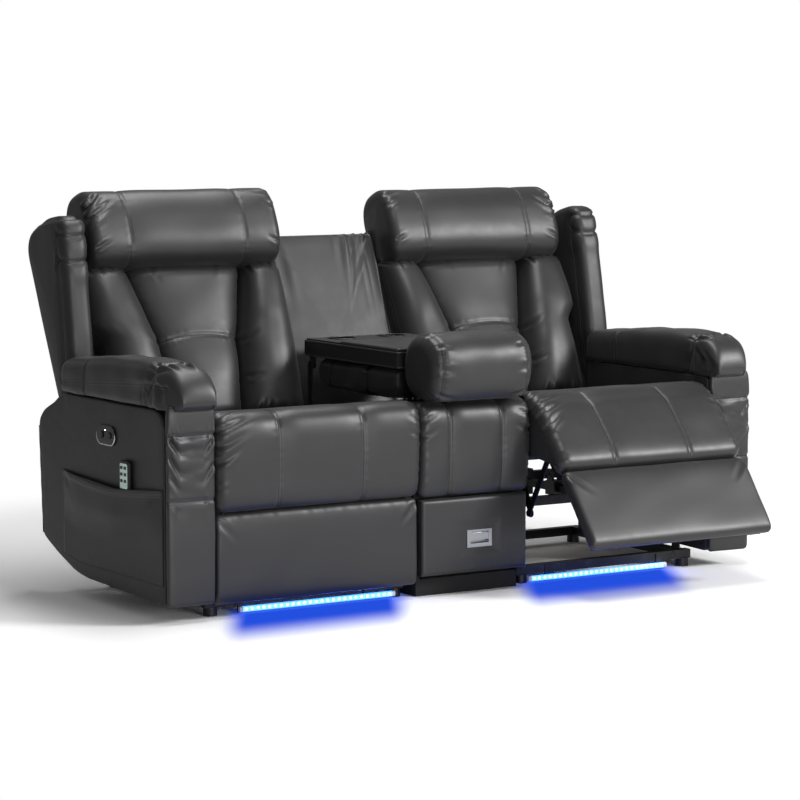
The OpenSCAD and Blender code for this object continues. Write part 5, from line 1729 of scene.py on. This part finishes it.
@dataclass
class Studio:
    """Pale floor, soft lamps and the camera."""

    eye: tuple[float, float, float] = (-4.4036, -6.9940, 1.3480)
    yaw: float = 32.29
    pitch: float = 5.95
    lens: float = 134.5
    floor_white: float = 1.12
    fill: float = 0.22

    def camera(self) -> None:
        """Camera at the photograph's angle."""
        data = bpy.data.cameras.new("view")
        data.lens, data.sensor_width = self.lens, 36.0
        data.clip_end = 60.0
        obj = bpy.data.objects.new("view", data)
        bpy.context.scene.collection.objects.link(obj)
        turn_z = Matrix.Rotation(math.radians(-self.yaw), 4, "Z")
        turn_x = Matrix.Rotation(math.radians(90.0 - self.pitch), 4, "X")
        obj.matrix_world = Matrix.Translation(Vector(self.eye)) @ turn_z @ turn_x
        bpy.context.scene.camera = obj

    def floor(self) -> None:
        """Plain floor: shadow near the sofa, white far from it, and a glow before the light strips.

        The far share grows from 0 to 1 between two radii. A strip's glow is a leaning band: with b the
        distance in front of the strip and s = x + 0.59 b along it, both edges fade over a soft margin.
        """
        obj = Maker.mesh(
            "floor", np.array([[-9e3, -9e3, -0.4], [9e3, -9e3, -0.4], [9e3, 9e3, -0.4], [-9e3, 9e3, -0.4]]),
            [[0, 1, 2, 3]],
            soft=False,
        )
        mat = bpy.data.materials.new("Pale studio floor")
        mat.use_nodes = True
        tree = mat.node_tree
        tree.nodes.remove(next(n for n in tree.nodes if n.type == "BSDF_PRINCIPLED"))
        out = next(n for n in tree.nodes if n.type == "OUTPUT_MATERIAL")
        seen = add_node(tree, "ShaderNodeLightPath").outputs["Is Camera Ray"]
        tone = add_node(
            tree, "ShaderNodeMapRange", {"To Min": 0.8, "To Max": self.floor_white}, {"Value": seen}
        ).outputs[0]
        pale = add_node(tree, "ShaderNodeBsdfDiffuse", links={"Color": tone}).outputs[0]
        place = add_node(tree, "ShaderNodeTexCoord").outputs["Object"]
        reach = add_node(tree, "ShaderNodeVectorMath", {"operation": "LENGTH"}, {0: place}).outputs["Value"]
        far = self.ramp(tree, reach, 1.35, 2.1)
        hidden = calc(tree, "MULTIPLY", far, seen)
        white = add_node(tree, "ShaderNodeEmission", {"Strength": 1.0}).outputs[0]
        plain = add_node(tree, "ShaderNodeMixShader", links={0: hidden, 1: pale, 2: white}).outputs[0]
        axes = add_node(tree, "ShaderNodeSeparateXYZ", links={0: place})
        ahead = calc(tree, "MULTIPLY_ADD", axes.outputs["Y"], -1.0, -0.339)
        along = calc(tree, "MULTIPLY_ADD", ahead, 0.59, axes.outputs["X"])
        near = self.ramp(tree, ahead, 0.44, 0.12)
        start = self.ramp(tree, ahead, -0.10, 0.02)
        total = None
        for side in Side:
            off = calc(tree, "SUBTRACT", along, side.value * (SEAT_CX + LIGHT_SHIFT) * MM)
            band = self.ramp(tree, calc(tree, "ABSOLUTE", off), 0.30, 0.21)
            total = band if total is None else calc(tree, "MAXIMUM", total, band)
        for part in (near, start):
            total = calc(tree, "MULTIPLY", total, part)
        blue = add_node(tree, "ShaderNodeEmission", {"Color": srgb("#2450e0"), "Strength": 1.0}).outputs[0]
        lit = add_node(tree, "ShaderNodeMixShader", links={0: total, 1: plain, 2: blue})
        tree.links.new(lit.outputs[0], out.inputs["Surface"])
        obj.data.materials.append(mat)

    @staticmethod
    def ramp(
        tree: bpy.types.NodeTree, value: bpy.types.NodeSocket, none: float, full: float
    ) -> bpy.types.NodeSocket:
        """Smooth share that is 0 at one value and 1 at another."""
        node = add_node(
            tree, "ShaderNodeMapRange",
            {"interpolation_type": "SMOOTHSTEP", "From Min": none, "From Max": full},
            {"Value": value},
        )
        return node.outputs[0]

    def world(self) -> None:
        """White to the camera and to transmission rays, dim grey as a lamp and to reflections."""
        world = bpy.data.worlds.new("studio")
        bpy.context.scene.world = world
        world.use_nodes = True
        tree = world.node_tree
        back = next(n for n in tree.nodes if n.type == "BACKGROUND")
        ray = add_node(tree, "ShaderNodeLightPath")
        seen = calc(tree, "MAXIMUM", ray.outputs["Is Camera Ray"], ray.outputs["Is Transmission Ray"])
        lamp = calc(tree, "MULTIPLY", ray.outputs["Is Glossy Ray"], self.fill)
        full = calc(tree, "MAXIMUM", calc(tree, "MAXIMUM", seen, lamp), self.fill)
        back.inputs["Color"].default_value = (1.0, 1.0, 1.0, 1.0)
        tree.links.new(full, back.inputs["Strength"])

    def lamp(
        self, name: str, place: tuple, aim: tuple, size: tuple, power: float, colour: str = "#ffffff"
    ) -> None:
        """Area lamp of a size in metres that faces a point."""
        data = bpy.data.lights.new(name, "AREA")
        data.shape = "RECTANGLE"
        data.size, data.size_y = size
        data.energy = power
        data.color = srgb(colour)[:3]
        obj = bpy.data.objects.new(name, data)
        bpy.context.scene.collection.objects.link(obj)
        way = Vector(aim) - Vector(place)
        obj.matrix_world = Matrix.Translation(
            Vector(place)
        ) @ way.to_track_quat("-Z", "Y").to_matrix().to_4x4()

    def build(self) -> None:
        """Make the floor, the world and the lamps."""
        self.floor()
        self.world()
        self.lamp("key", (3.6, -3.9, 2.9), (0.2, 0.0, 0.45), (1.5, 1.5), 270.0)
        self.lamp("front", (-0.4, -5.6, 1.0), (0.0, 0.0, 0.4), (2.4, 1.0), 95.0)
        self.lamp("top", (0.3, -0.1, 3.9), (0.0, 0.0, 0.0), (3.8, 1.0), 105.0)
        for side in Side:
            x = side.value * (SEAT_CX + LIGHT_SHIFT) * MM
            self.lamp(
                f"{side.word}_glow", (x, -0.352, 0.022), (x, -0.40, 0.0), (0.46, 0.012), 0.55, "#1a3cff"
            )


def main() -> None:
    """Build the sofa piece by piece over the frame, then the studio around it."""
    bpy.context.scene.view_settings.view_transform = "Standard"
    studio = Studio()
    studio.camera()
    wear = Wardrobe()
    wear.dress_nodes()
    parts = [Handset(wear), Middle(wear)]
    for side in Side:
        parts += [Seat(side, wear), Back(side, wear), Arm(side, wear), Lights(side, wear)]
    for part in parts:
        part.build()
        LOG.info("finished %s", type(part).__name__)
    studio.build()


if __name__ == "__main__":
    main()
